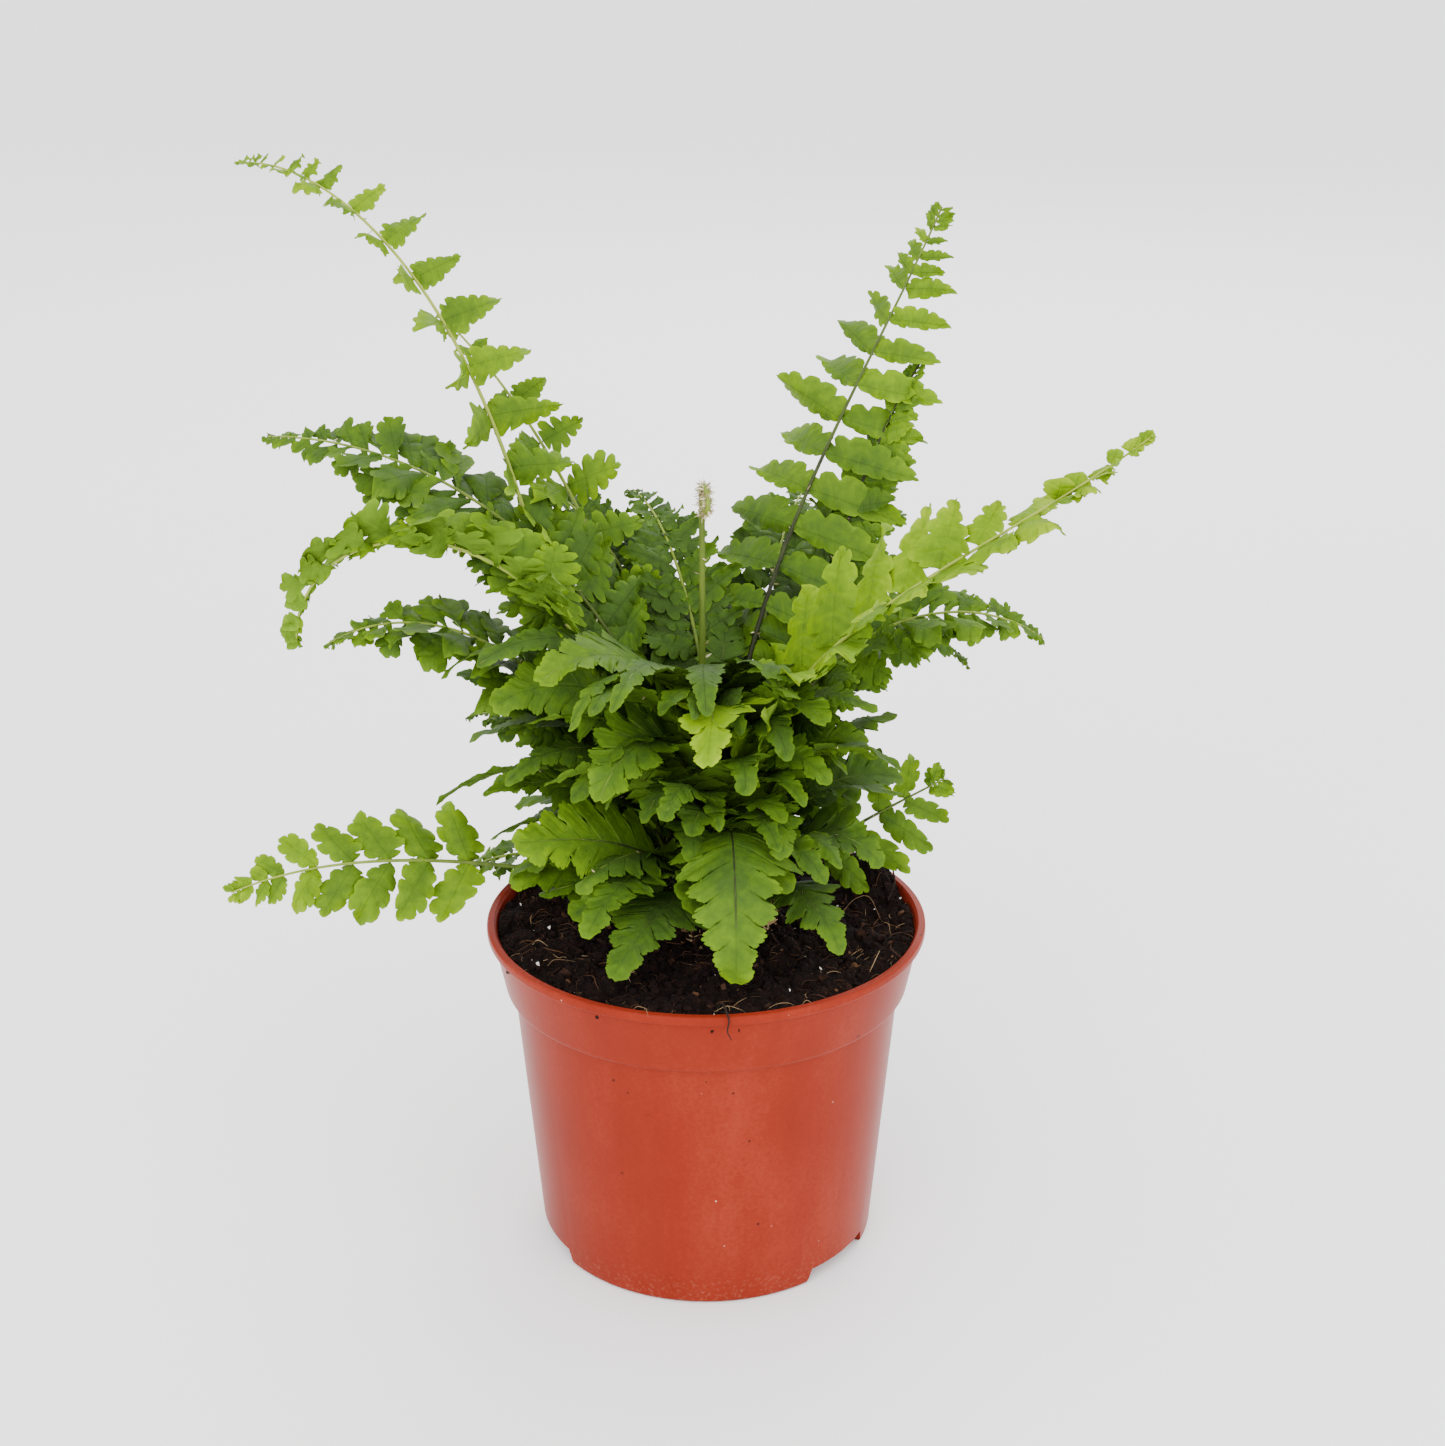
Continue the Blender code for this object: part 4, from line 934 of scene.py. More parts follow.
def upright_length(seat):
    """How much of a stipe stands upright, from its seat's floor to the top of the collar."""
    reach = math.hypot(seat[0] - CROWN_PLACE[0], seat[1] - CROWN_PLACE[1])
    return crown_surface(reach) + SEAT_COLLAR - seat_bottom()


def frond_axis(row, seat):
    """Points and directions along a frond, from the foot of its stipe to its tip."""
    length = row["length"] * MM
    upright = upright_length(seat)
    step = (upright + length) / AXIS_STEPS
    points = [np.array([seat[0], seat[1], seat_bottom()])]
    directions = []
    for k in range(AXIS_STEPS + 1):
        run = (k + 0.5) * step - upright
        s = min(max(run / length, 0), 1)
        turn = min(max(run / STIPE_BEND, 0), 1)
        turn = turn * turn * (3 - 2 * turn)
        lean = (row["lean_foot"] * (1 - s) * (1 - 2 * s) + row["lean_half"] * 4 * s * (1 - s)
                + row["lean_tip"] * s * (2 * s - 1))
        lean = math.radians(lean) * turn
        azimuth = math.radians(row["azimuth"] + row["swing"] * s ** 1.5)
        directions.append(np.array([math.sin(lean) * math.cos(azimuth),
                                    math.sin(lean) * math.sin(azimuth), math.cos(lean)]))
        if k < AXIS_STEPS:
            points.append(points[-1] + directions[-1] * step)
    return np.array(points), np.array(directions), upright


def frame_at(row, axis, share):
    """Point, direction, upper side and right side at a share of the blade's length."""
    points, directions, upright = axis
    length = row["length"] * MM
    run = length * (row["bare"] + (1 - row["bare"]) * share)
    place = (upright + run) / (upright + length) * (len(points) - 1)
    k = int(min(max(math.floor(place), 0), len(points) - 2))
    part = place - k
    point = points[k] * (1 - part) + points[k + 1] * part
    along = unit(directions[k] * (1 - part) + directions[k + 1] * part)
    lean = math.acos(min(max(along[2], -1), 1))
    azimuth = math.radians(row["azimuth"] + row["swing"] * (run / length) ** 1.5)
    upper = np.array([-math.cos(lean) * math.cos(azimuth), -math.cos(lean) * math.sin(azimuth),
                      math.sin(lean)])
    upper = unit(upper - upper.dot(along) * along)
    right = np.cross(along, upper)
    roll = math.radians(row["roll"])
    upper = upper * math.cos(roll) + right * math.sin(roll)
    return point, along, upper, np.cross(along, upper)


def pair_shares(row):
    """Shares of the blade's length where its pairs of leaflets stand."""
    if row["form"] == "young":
        return [(k + YOUNG_FIRST) / row["pairs"] for k in range(row["pairs"])]
    shares = [(k + GROWN_FIRST) / row["pairs"] for k in range(row["pairs"])]
    return [x + GROWN_CROWDING * x * (1 - x) for x in shares]


def leaflet_site(row, axis, share, room, side):
    """One leaflet's place, directions and sizes."""
    young = row["form"] == "young"
    places, shares = YOUNG_SHARES if young else GROWN_SHARES
    length = row["leaflet"] * MM * float(np.interp(share, places, shares))
    width = min(room * (1.0 if young else GROWN_WIDTH), length * WIDEST_LEAFLET)
    point, along, upper, right = frame_at(row, axis, share)
    angle = math.radians(row["spread"] - (YOUNG_CLOSING if young else GROWN_CLOSING) * share)
    return dict(side=side, share=share, length=length, width=width, point=point, along=along,
                upper=upper, right=right, angle=angle,
                lift=row["lift_right"] if side > 0 else row["lift_left"])


def leaflet_directions(site, bend):
    """Direction of the leaflet's rib, of its width towards the tip, and of its upper face."""
    lift = math.radians(site["lift"] + bend)
    out = site["side"] * site["right"]
    out_lifted = math.cos(lift) * out + math.sin(lift) * site["upper"]
    rib = math.cos(site["angle"]) * site["along"] + math.sin(site["angle"]) * out_lifted
    face = math.cos(lift) * site["upper"] - math.sin(lift) * out
    face = unit(face - face.dot(rib) * rib)
    across = unit(site["along"] - site["along"].dot(rib) * rib)
    across = unit(across - across.dot(face) * face)
    return rib, across, face


def leaflet_end(site, bend, size):
    """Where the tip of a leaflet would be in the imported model."""
    rib, across, face = leaflet_directions(site, bend)
    length = site["length"] * size
    base = site["point"] + site["side"] * site["right"] * RIB_HALF_WIDTH
    return base + rib * length - face * LEAFLET_DROOP * length


def packed_leaflets(row, axis):
    """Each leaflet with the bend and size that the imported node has, found by where its tip is."""
    corners = frame["nodes"][row["name"]].data.vertices
    tree = KDTree(len(corners))
    for k, corner in enumerate(corners):
        tree.insert(corner.co, k)
    tree.balance()
    shares = pair_shares(row)
    found = []
    for k, share in enumerate(shares):
        after = shares[k + 1] if k + 1 < len(shares) else 2 * share - shares[k - 1]
        room = (after - share) * row["length"] * MM * (1 - row["bare"])
        for side in (1, -1):
            site = leaflet_site(row, axis, share, room, side)
            tries = [(tree.find(leaflet_end(site, bend, size))[2], bend, size)
                     for size in SIZE_TRIES for bend in BEND_TRIES]
            gap, bend, size = min(tries, key=lambda one: one[0])
            if gap < TRY_TOLERANCE:
                found.append((site, bend, size))
    return found


# Fronds


def free_leaflets(row, axis, dice):
    """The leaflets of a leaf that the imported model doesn't have."""
    shares = pair_shares(row)
    bends = [dice.uniform(*FREE_BENDS) for side in range(2)]
    return [(leaflet_site(row, axis, share, 1.0, side), bends[side > 0] + dice.uniform(*FREE_BEND_DRIFT), 1.0)
            for share in shares for side in (1, -1)]


def further_sites(row, look, axis, sites, dice):
    """Small leaflets below the blade, between the pairs where the frond is dense, and at its tip."""
    shares = pair_shares(row)
    blade = row["length"] * MM * (1 - row["bare"])
    lowest = -row["bare"] * row["length"] * MM / blade
    step = shares[1] - shares[0]
    found = []
    for k in range(look["basal"]):
        share = shares[0] - step * (k + 1) * BASAL_STEP
        if share < lowest * BASAL_LOWEST:
            break
        for side in (1, -1):
            site = leaflet_site(row, axis, share, step * blade, side)
            site["length"] = row["leaflet"] * MM * (BASAL_SIZES[0] - BASAL_SIZES[1] * k)
            site["width"] = site["length"] * BASAL_WIDTH
            found.append((site, dice.uniform(*BASAL_BENDS), 1.0))
    for side, extra in zip((1, -1), look["between"] or (0, 0)):
        own = [one for one in sites if one[0]["side"] == side]
        for (low, bend_low, size_low), (high, bend_high, size_high) in zip(own, own[1:]):
            if look["between"] is None and low["share"] < TIP_CROWDING:
                continue
            gap = high["share"] - low["share"]
            for k in range(look["per_gap"]):
                share = low["share"] + gap * (k + 1) / (look["per_gap"] + 1)
                site = leaflet_site(row, axis, share, gap * blade, side)
                bend = (bend_low + bend_high) / 2 + extra * dice.uniform(*BETWEEN_BENDS)
                found.append((site, bend, (size_low + size_high) / 2 * dice.uniform(*BETWEEN_SIZES)))
    last = shares[-1]
    for k in range(TIP_PAIRS):
        share = last + (1 - last) * (k + 1) / (TIP_PAIRS + TIP_BARE_STEPS)
        for side in (1, -1):
            site = leaflet_site(row, axis, share, (1 - last) * blade / TIP_PAIRS, side)
            site["width"] = site["length"] * TIP_WIDTH
            found.append((site, 0, 1.0))
    return found


def lobe_reach(row, look, site, size, lobes, teeth, uneven):
    """How far a young blade reaches from its rib: whole, and with its lobes and teeth cut."""
    share = site["share"]
    step = share * lobes - int(share * lobes)
    full = row["leaflet"] * MM * float(np.interp(share, *BLADE_SHARES))
    whole = full * look["longer"] * (0.35 + 0.65 * size) * uneven
    whole *= min(1.0, 0.5 + share * lobes * 0.8)
    swell = math.sin(math.pi * step) ** LOBE_BLUNTNESS
    ahead = (1 - share) * lobes
    calm = min(1.0, ahead / 2)
    reach = whole * (1 - look["cut"] * (1 - 0.3 * share) * (1 - swell) * calm)
    slant = (step - 0.5) * (row["length"] * MM * (1 - row["bare"])) / lobes * math.cos(site["angle"])
    reach -= slant * swell * calm * LOBE_SLANT
    tooth = TOOTH_DEPTH * min(1.0, full / TOOTH_FULL_REACH) * (1 - hump(step * teeth % 1))
    reach -= tooth * (0.4 + 0.6 * calm)
    past = max(0.0, 1 - ahead)
    return whole, max(reach, BLADE_LEAST_REACH) * math.sqrt(1 - 0.95 * past ** 3)


def lobe_bends(sites, side, stations, per_lobe):
    """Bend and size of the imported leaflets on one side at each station, the bends evened out."""
    own = [(site["share"], bend, size) for site, bend, size in sites if site["side"] == side]
    shares, bends, sizes = zip(*own)
    bends = np.interp(stations, shares, bends)
    window = 2 * per_lobe + 1
    bends = np.convolve(np.pad(bends, per_lobe, mode="edge"), np.ones(window), "valid")
    return bends / window * BEND_SHARE, np.interp(stations, shares, sizes)


def young_blade(row, look, axis, sites):
    """A young frond's blade: one sheet on both sides of its rachis, cut into toothed lobes."""
    leaf = LeafCorners()
    teeth = look.get("teeth", YOUNG_TEETH)
    parts = look.get("parts", BLADE_COLUMNS)
    per_lobe = teeth * TOOTH_STEPS
    lobes = round(row["length"] * MM * (1 - row["bare"]) / MM / look["lobe"])
    stations = [k / (lobes * per_lobe) for k in range(lobes * per_lobe)]
    tall = LEAF_THICKNESS / 2
    point, along, upper, right = frame_at(row, axis, 0)
    base = leaf.add(point, (0, 0.3, 1), way=upper, margin=True)
    point, along, upper, right = frame_at(row, axis, 1)
    tip = leaf.add(point + along * BLADE_TIP_MM * MM, (1, 1, 1), way=upper, margin=True)
    ribs = {1: [], -1: []}
    for share in stations:
        point, along, upper, right = frame_at(row, axis, share)
        for level in (1, -1):
            ribs[level].append(leaf.add(point + upper * level * tall, (share, 0, 1), way=upper))
    dice = random.Random(row["name"] + "lobes")
    cup = dice.uniform(*BLADE_CUPS_MM) * MM
    for side in (1, -1):
        bends, sizes = lobe_bends(sites, side, stations, per_lobe)
        uneven = [dice.uniform(*LOBE_SIZES) for k in range(lobes + 1)]
        edge = []
        columns = {(level, part): [] for level in (1, -1) for part in parts}
        for share, bend, size in zip(stations, bends, sizes):
            site = leaflet_site(row, axis, share, 1.0, side)
            rib, across, face = leaflet_directions(site, bend)
            number = int(share * lobes)
            step = share * lobes - number
            whole, reach = lobe_reach(row, look, site, size, lobes, teeth, uneven[number])
            off = abs(2 * step - 1)
            wave = math.sin(number * 2.1 + side) * math.sin(math.pi * step) ** 2 * BLADE_WAVE
            rise = wave / whole ** 2 - cup / BLADE_CUP_REACH ** 2
            lag = max(0.0, whole - reach)
            out = rib * reach + site["along"] * lag * math.cos(site["angle"]) * LOBE_SQUARING
            for part in parts:
                middle = site["point"] + out * part + face * rise * (reach * part) ** 2
                for level in (1, -1):
                    columns[level, part].append(leaf.add(middle + face * level * tall * (1 - 0.6 * part),
                                                         (share, part, off), side * part, face))
            margin = site["point"] + out + face * rise * reach ** 2
            edge.append(leaf.add(margin, (share, 1, off), side, face, True))
        for level in (1, -1):
            lines = [ribs[level]] + [columns[level, part] for part in parts] + [edge]
            leaf.close(base, tip, lines, level, side * level > 0)
    return leaf


def standing_leaflets(look, sites, starts, dice):
    """Where each leaflet stands, and its two directions, size, kind, droop, arch, twist and tone."""
    points, fields = [], []
    for site, bend, size in sites:
        if site["share"] < look["start"]:
            continue
        rib, across, face = leaflet_directions(site, bend + dice.uniform(*BEND_DRIFT))
        length = site["length"] * size * look["longer"] * dice.uniform(*LENGTH_DRIFT)
        width = site["width"] * (0.5 + 0.5 * size) * look["wider"] * dice.uniform(*WIDTH_DRIFT)
        length *= 1 + look["fuller"] * site["share"] ** 2
        width *= 1 + look["fuller"] * FULLER_WIDTH * site["share"] ** 2
        width = max(width, length * NARROWEST_LEAFLET)
        form = look["low"] if site["share"] < look["change"] else look["high"]
        start, count = starts["round" if length < ROUND_BELOW else form]
        mirrored = np.cross(face, rib).dot(across) < 0
        points.append(site["point"] + site["side"] * site["right"] * LEAFLET_FOOT_MM * MM)
        tone = look["tone"] + dice.uniform(*TONE_DRIFT) + TONE_RISE * (site["share"] - 0.5)
        fields.append((tuple(rib), tuple(face), (length, width, 1.0),
                       start + dice.randrange(count) + (count if mirrored else 0),
                       length * dice.uniform(*DROOPS), width * dice.uniform(*ARCHES),
                       length * dice.uniform(*TWISTS), tone))
    return points, fields


def frond_seedling(row, look, axis, starts):
    """The places of a frond's leaflets, its blade if it is young, and the path of its stem."""
    dice = random.Random(row["name"])
    young = row["form"] == "young"
    in_model = row["name"] in frame["nodes"]
    packed = packed_leaflets(row, axis) if in_model else free_leaflets(row, axis, dice)
    blade = young_blade(row, look, axis, packed) if young else LeafCorners()
    sites = [] if young else packed + further_sites(row, look, axis, packed, dice)
    points, fields = standing_leaflets(look, sites, starts, dice)
    stem, directions, upright = axis
    stem = stem if in_model else stem[::2]
    length = row["length"] * MM
    runs = [max(0.0, (k / (len(stem) - 1) * (upright + length) - upright) / length) for k in range(len(stem))]
    thick = YOUNG_STEM_SHARE if young else 1
    widths = [float(np.interp(run, (0, row["bare"], 1), STEM_RADII)) * thick for run in runs]
    hairs = [float(np.interp(run, *HAIR_STATIONS)) for run in runs]
    counts = leaflets, path, sheet = len(points), len(stem), len(blade.spots)
    start = leaflets + path
    mesh = bpy.data.meshes.new("seedling")
    mesh.from_pydata([tuple(point) for point in [*points, *stem]] + blade.spots,
                     [(leaflets + k, leaflets + k + 1) for k in range(path - 1)],
                     [tuple(start + corner for corner in cell) for cell in blade.faces])
    set_leaf_fields(mesh, blade, start)
    ribs, faces, sizes, kinds, droops, arches, twists, tones = zip(*fields) if fields else [()] * 8
    blade_tones = [look["tone"] + 0.10 * (place[0] - 0.4) for place in blade.places]
    up, ahead = (0.0, 0.0, 1.0), (1.0, 0.0, 0.0)
    # Name and kind of each field, its blank value, then its values for leaflets, stem and sheet
    for label, kind, blank, *parts in (("rib_way", "FLOAT_VECTOR", ahead, ribs, None, None),
                                       ("face_way", "FLOAT_VECTOR", up, faces, None, blade.ways),
                                       ("size", "FLOAT_VECTOR", up, sizes, None, None),
                                       ("kind", "INT", -1, kinds, None, None),
                                       ("droop", "FLOAT", 0.0, droops, None, None),
                                       ("arch", "FLOAT", 0.0, arches, None, None),
                                       ("twist", "FLOAT", 0.0, twists, None, None),
                                       ("tone", "FLOAT", look["tone"], tones, None, blade_tones),
                                       ("leaf_place", "FLOAT_VECTOR", up, None, None, blade.places),
                                       ("leaf_side", "FLOAT", 0.0, None, None, blade.sides),
                                       ("sheet", "FLOAT", 0.0, None, None, [1.0] * sheet),
                                       ("stem_width", "FLOAT", 0.0, None, widths, None),
                                       ("stem_run", "FLOAT", 0.0, None, runs, None),
                                       ("hairy", "FLOAT", 0.0, None, hairs, None),
                                       ("brown", "FLOAT", 0.0, None, [look["brown"]] * path, None)):
        values = [[blank] * count if part is None else list(part) for part, count in zip(parts, counts)]
        add_field(mesh, label, kind, sum(values, []))
    return mesh


def frond_growth():
    """Leaflets on their places, bent and rippled, the stem as a tube along its path, and its scales."""
    tree = Growth("frond_growth", {"Leaflets": "collection", "Scales": "collection", "Leaf": "material",
                                   "Stem": "material", "Scale": "material", "Sides": int,
                                   "Scale density": float, "Scale size": float, "Ripple": float,
                                   "Ripples": float, "Seed": int})
    given = tree.inputs
    kind = tree.named("kind", "INT")
    faces = tree.named("face_way", "FLOAT_VECTOR")
    turn = tree.node("FunctionNodeAxesToRotation", {"primary_axis": "X", "secondary_axis": "Z"},
                     {0: tree.named("rib_way", "FLOAT_VECTOR"), 1: faces})
    chosen = tree.node("FunctionNodeCompare", {"data_type": "INT", "operation": "GREATER_EQUAL"},
                       {"A": kind, "B": 0})
    split = tree.node("GeometryNodeSeparateGeometry", {"domain": "POINT"},
                      {"Geometry": given["Geometry"], "Selection": tree.named("sheet")})
    rest = Value(tree, split.socket.node.outputs["Inverted"])
    placed = tree.place(rest, given["Leaflets"], turn, tree.named("size", "FLOAT_VECTOR"),
                        Selection=chosen, Instance_Index=kind)
    leaves = tree.node("GeometryNodeRealizeInstances", {}, {0: placed})
    leaves = tree.node("GeometryNodeJoinGeometry", {}, {0: [leaves, split]})
    run, reach = tree.parts(tree.named("leaf_place", "FLOAT_VECTOR"))[:2]
    ripple = tree.node("ShaderNodeTexNoise", {}, {"Vector": tree.node("GeometryNodeInputPosition"),
                                                  "Scale": given["Ripples"], "Detail": 1.5})
    lift = ((ripple - 0.5) * given["Ripple"] * (0.25 + reach * 0.75) - tree.named("droop") * run * run
            - tree.named("arch") * reach * reach + tree.named("twist") * tree.named("leaf_side") * run)
    leaves = tree.node("GeometryNodeSetPosition", {},
                       {"Geometry": leaves, "Offset": tree.scaled(faces, lift)})
    leaves = tree.paint(leaves, given["Leaf"])
    tube = tree.tube(rest, given["Sides"], given["Stem"])
    spots, outward = tree.scatter(tube, given["Scale density"] * tree.named("hairy"), given["Seed"],
                                  tree.random(*HAIR_ANGLES, 5))
    hairs = tree.place(spots, given["Scales"], outward, given["Scale size"] * tree.random(*HAIR_SIZES, 7))
    hairs = tree.toned(hairs)
    hairs = tree.node("GeometryNodeRealizeInstances", {}, {0: hairs})
    hairs = tree.paint(hairs, given["Scale"])
    return tree.close(tree.node("GeometryNodeJoinGeometry", {}, {0: [leaves, tube, hairs]}))


# Each scale's bend and half width, and how high and how wide it is at each of its levels
SCALE_FORMS = ((0.25, 0.16), (0.5, 0.10), (0.1, 0.07))
SCALE_LEVELS = ((0.0, 0.6), (0.4, 1.0), (0.75, 0.6))


def scale_shelf():
    """Thin tapered scales that stand on stems and on the crown, one unit tall."""
    meshes = []
    for bend, width in SCALE_FORMS:
        spots, faces = [], [(2, 1, 0)]
        for k, (height, share) in enumerate(SCALE_LEVELS):
            ahead, half = bend * height * height, width * share
            spots += [(ahead, -half, height), (ahead + half * 0.4, 0, height), (ahead, half, height)]
            low, high = 3 * k, 3 * k + 3
            if k < len(SCALE_LEVELS) - 1:
                faces += [(low + i, low + (i + 1) % 3, high + (i + 1) % 3, high + i) for i in range(3)]
            else:
                faces += [(low + i, low + (i + 1) % 3, high) for i in range(3)]
        mesh = bpy.data.meshes.new("scale")
        mesh.from_pydata(spots + [(bend, 0, 1.0)], [], faces)
        meshes.append(mended(mesh))
    return seed_shelf("scales", meshes)


def make_fronds(growth, stock, leaf, young, starts):
    """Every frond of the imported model, each in its finer form. Returns the seats on the crown."""
    rows = [dict(zip(FROND_COLUMNS, row)) for row in FROND_ROWS]
    seats = frond_seats(rows + [dict(name="fiddlehead", azimuth=FIDDLE_AZIMUTH, ring=0)])
    for number, row in enumerate(rows):
        name = row["name"]
        if row["form"] == "young":
            look = dict(zip(YOUNG_COLUMNS, YOUNG_LOOKS[name]))
            finish, ripple, slot = young, YOUNG_RIPPLE, "young_leaf"
        else:
            look = dict(zip(GROWN_COLUMNS, GROWN_LOOKS[name]))
            finish, ripple, slot = leaf, GROWN_RIPPLE, "leaf"
        seedling = frond_seedling(row, look, frond_axis(row, seats[name]), starts)
        mesh = growth.grow("frond", seedling, **stock, **FROND_SCALES, Leaf=finish, Sides=8,
                           Ripple=ripple, Ripples=RIPPLES, Seed=number)
        add_piece(name + "_leaves", mesh, slot, [name])
    return seats


def crown_leaf_rows():
    """Form, look and seat of each small leaf that fills the crown, in tiers."""
    dice = random.Random(CROWN_SEED)

    def draw(name):
        return dice.uniform(*CROWN_SPANS[name])

    made = []
    for tier, (count, span, lengths, halves, tips, reaches) in enumerate(CROWN_TIERS):
        for k in range(count):
            azimuth = span[0] + (span[1] - span[0]) * (k + 0.5 + draw("azimuth")) / count
            leftward = max(0.0, -math.cos(math.radians(azimuth)))
            length = dice.uniform(*lengths) * (1 + CROWN_LEFT_GROWTH * leftward * (1 - halves[0] / 60))
            half = dice.uniform(*halves) + CROWN_LEFT_LEAN * leftward
            row = dict(name=f"crown_leaf_{tier}_{k:02d}", azimuth=azimuth, length=length,
                       bare=draw("bare"), lean_foot=draw("lean_foot"), lean_half=half,
                       lean_tip=dice.uniform(*tips), swing=draw("swing"), roll=draw("roll"),
                       leaflet=CROWN_LEAFLET * draw("leaflet"), pairs=5, spread=74, lift_right=5,
                       lift_left=5, form="young")
            look = dict(tone=draw("tone"), brown=0.6, longer=draw("longer"),
                        lobe=CROWN_LOBE * draw("lobe"), cut=draw("cut"), teeth=3, parts=(0.5,))
            reach, angle = dice.uniform(*reaches) * MM, math.radians(azimuth)
            made.append((row, look, (CROWN_PLACE[0] + reach * math.cos(angle),
                                     CROWN_PLACE[1] + reach * math.sin(angle))))
    return made


def make_crown_leaves(growth, stock, young, starts):
    """All the small leaves that fill the crown, as one piece."""
    whole = bmesh.new()
    for number, (row, look, seat) in enumerate(crown_leaf_rows()):
        seedling = frond_seedling(row, look, frond_axis(row, seat), starts)
        mesh = growth.grow("crown_leaf", seedling, **stock, **CROWN_LEAF_SCALES, Leaf=young, Sides=5,
                           Ripple=CROWN_LEAF_RIPPLE, Ripples=RIPPLES, Seed=200 + number)
        whole.from_mesh(mesh)
    joined = finished_mesh(whole, "crown_leaves")
    for finish in mesh.materials:
        joined.materials.append(finish)
    add_piece("crown_leaves", joined, "young_leaf")


def make_fiddlehead(growth, stock, seat):
    """A stalk that ends in a coil standing on edge, thick with chaffy hairs."""
    azimuth = math.radians(FIDDLE_FACING)
    across = np.array([math.cos(azimuth), math.sin(azimuth), 0])
    up = np.array([0, 0, 1.0])
    low = np.array([seat[0], seat[1], seat_bottom()])
    stalk = FIDDLE_HEIGHT + upright_length(seat)
    steps = FIDDLE_STALK_STEPS
    points = [low + up * stalk * k / steps for k in range(steps + 1)]
    widths = [FIDDLE_RADIUS * (1 - FIDDLE_THINNING[0] * k / steps) for k in range(steps + 1)]
    centre = points[-1] + across * FIDDLE_COIL_RADIUS
    turns = int(FIDDLE_TURNS * FIDDLE_STEPS)
    for k in range(1, turns):
        share = k / turns
        angle = math.pi - math.tau * k / FIDDLE_STEPS
        reach = FIDDLE_COIL_RADIUS * (1 - FIDDLE_CLOSING * share)
        points.append(centre + across * reach * math.cos(angle) + up * reach * math.sin(angle))
        widths.append(FIDDLE_RADIUS * FIDDLE_COIL_SHARE * (1 - FIDDLE_THINNING[1] * share))
    count = len(points)
    mesh = path_mesh("coil", [points], stem_width=widths, brown=[0.2] * count, tone=[0.6] * count,
                     stem_run=[k / count * 0.9 for k in range(count)],
                     hairy=[FIDDLE_HAIRS[k >= steps] for k in range(count)], sheet=[0.0] * count)
    add_field(mesh, "kind", "INT", [-1] * count)
    made = growth.grow("coil", mesh, **stock, **FIDDLE_SCALES, Leaf=stock["Stem"], Sides=12, Ripple=0.0,
                       Ripples=RIPPLES, Seed=77)
    add_piece("fiddlehead_coil", made, "fiddlehead", ["fiddlehead"])


# Pot


def rounded(corners):
    """A profile with each corner softened by its own radius."""
    found = []
    for k, (radius, height, soft) in enumerate(corners):
        here = np.array([radius, height])
        if not soft:
            found.append(tuple(here))
            continue
        before = np.array(corners[k - 1][:2]) - here
        after = np.array(corners[k + 1][:2]) - here
        first, last = here + unit(before) * soft, here + unit(after) * soft
        for step in range(CORNER_STEPS + 1):
            t = step / CORNER_STEPS
            found.append(tuple((1 - t) ** 2 * first + 2 * t * (1 - t) * here + t * t * last))
    return found


def turned_mesh(name, profile):
    """A closed solid of revolution."""
    mesh = bpy.data.meshes.new(name)
    mesh.from_pydata([(radius, 0, height) for radius, height in profile],
                     [(k, k + 1) for k in range(len(profile) - 1)], [])
    item = add_object(name, mesh)
    screw = item.modifiers.new("turn", "SCREW")
    screw.steps = screw.render_steps = POT_STEPS
    screw.use_merge_vertices = True
    screw.merge_threshold = AXIS_MERGE
    made = plain_mesh(item)
    bpy.data.objects.remove(item, do_unlink=True)
    return mended(made, CORNER_MERGE)


def pocket_block(angle, grow):
    """The block that a drainage pocket takes up, wider towards the bottom."""
    work = bmesh.new()
    bmesh.ops.create_cube(work, size=1)
    for corner in work.verts:
        outer, upper = corner.co.x > 0, corner.co.z > 0
        radial = FOOT_RADIUS + CUT_PAST_SIDE if outer else FOOT_RADIUS - POCKET_DEPTH - grow
        half = POCKET_WIDTH / 2 + grow + (0 if upper else POCKET_FLARE)
        level = POCKET_HEIGHT + grow if upper else -CUT_PAST_FOOT
        corner.co = Vector((radial, math.copysign(half, corner.co.y), level))
    work.transform(Matrix.Rotation(math.radians(angle), 4, "Z"))
    return finished_mesh(work, "pocket")


def drain_hole(angle):
    """The round bar that cuts the drain hole of one pocket."""
    work = bmesh.new()
    bmesh.ops.create_cone(work, cap_ends=True, segments=DRAIN_SIDES, radius1=DRAIN_RADIUS,
                          radius2=DRAIN_RADIUS, depth=DRAIN_CUT)
    reach = FOOT_RADIUS - POCKET_DEPTH / 2 - DRAIN_INSET
    work.transform(Matrix.Rotation(math.radians(angle), 4, "Z") @ Matrix.Translation((reach, 0, 0)))
    return finished_mesh(work, "drain")


def cut_away(mesh, cutters):
    """The mesh less each of the cutters."""
    item = add_object("block", mesh)
    blades = []
    for cutter in cutters:
        blade = add_object("cutter", cutter)
        blades.append(blade)
        cut = item.modifiers.new("cut", "BOOLEAN")
        cut.operation = "DIFFERENCE"
        cut.object = blade
    made = plain_mesh(item)
    for one in blades + [item]:
        bpy.data.objects.remove(one, do_unlink=True)
    return made


def inner_radius(height):
    """Radius of the pot's inside at a height."""
    return float(np.interp(height, [FLOOR, *INNER_STEP, POT_HEIGHT],
                           [FOOT_RADIUS - WALL, BODY_TOP_RADIUS - WALL - 0.2 * MM,
                            BAND_FOOT_RADIUS - WALL, LIP_RADIUS - LIP_WIDTH]))


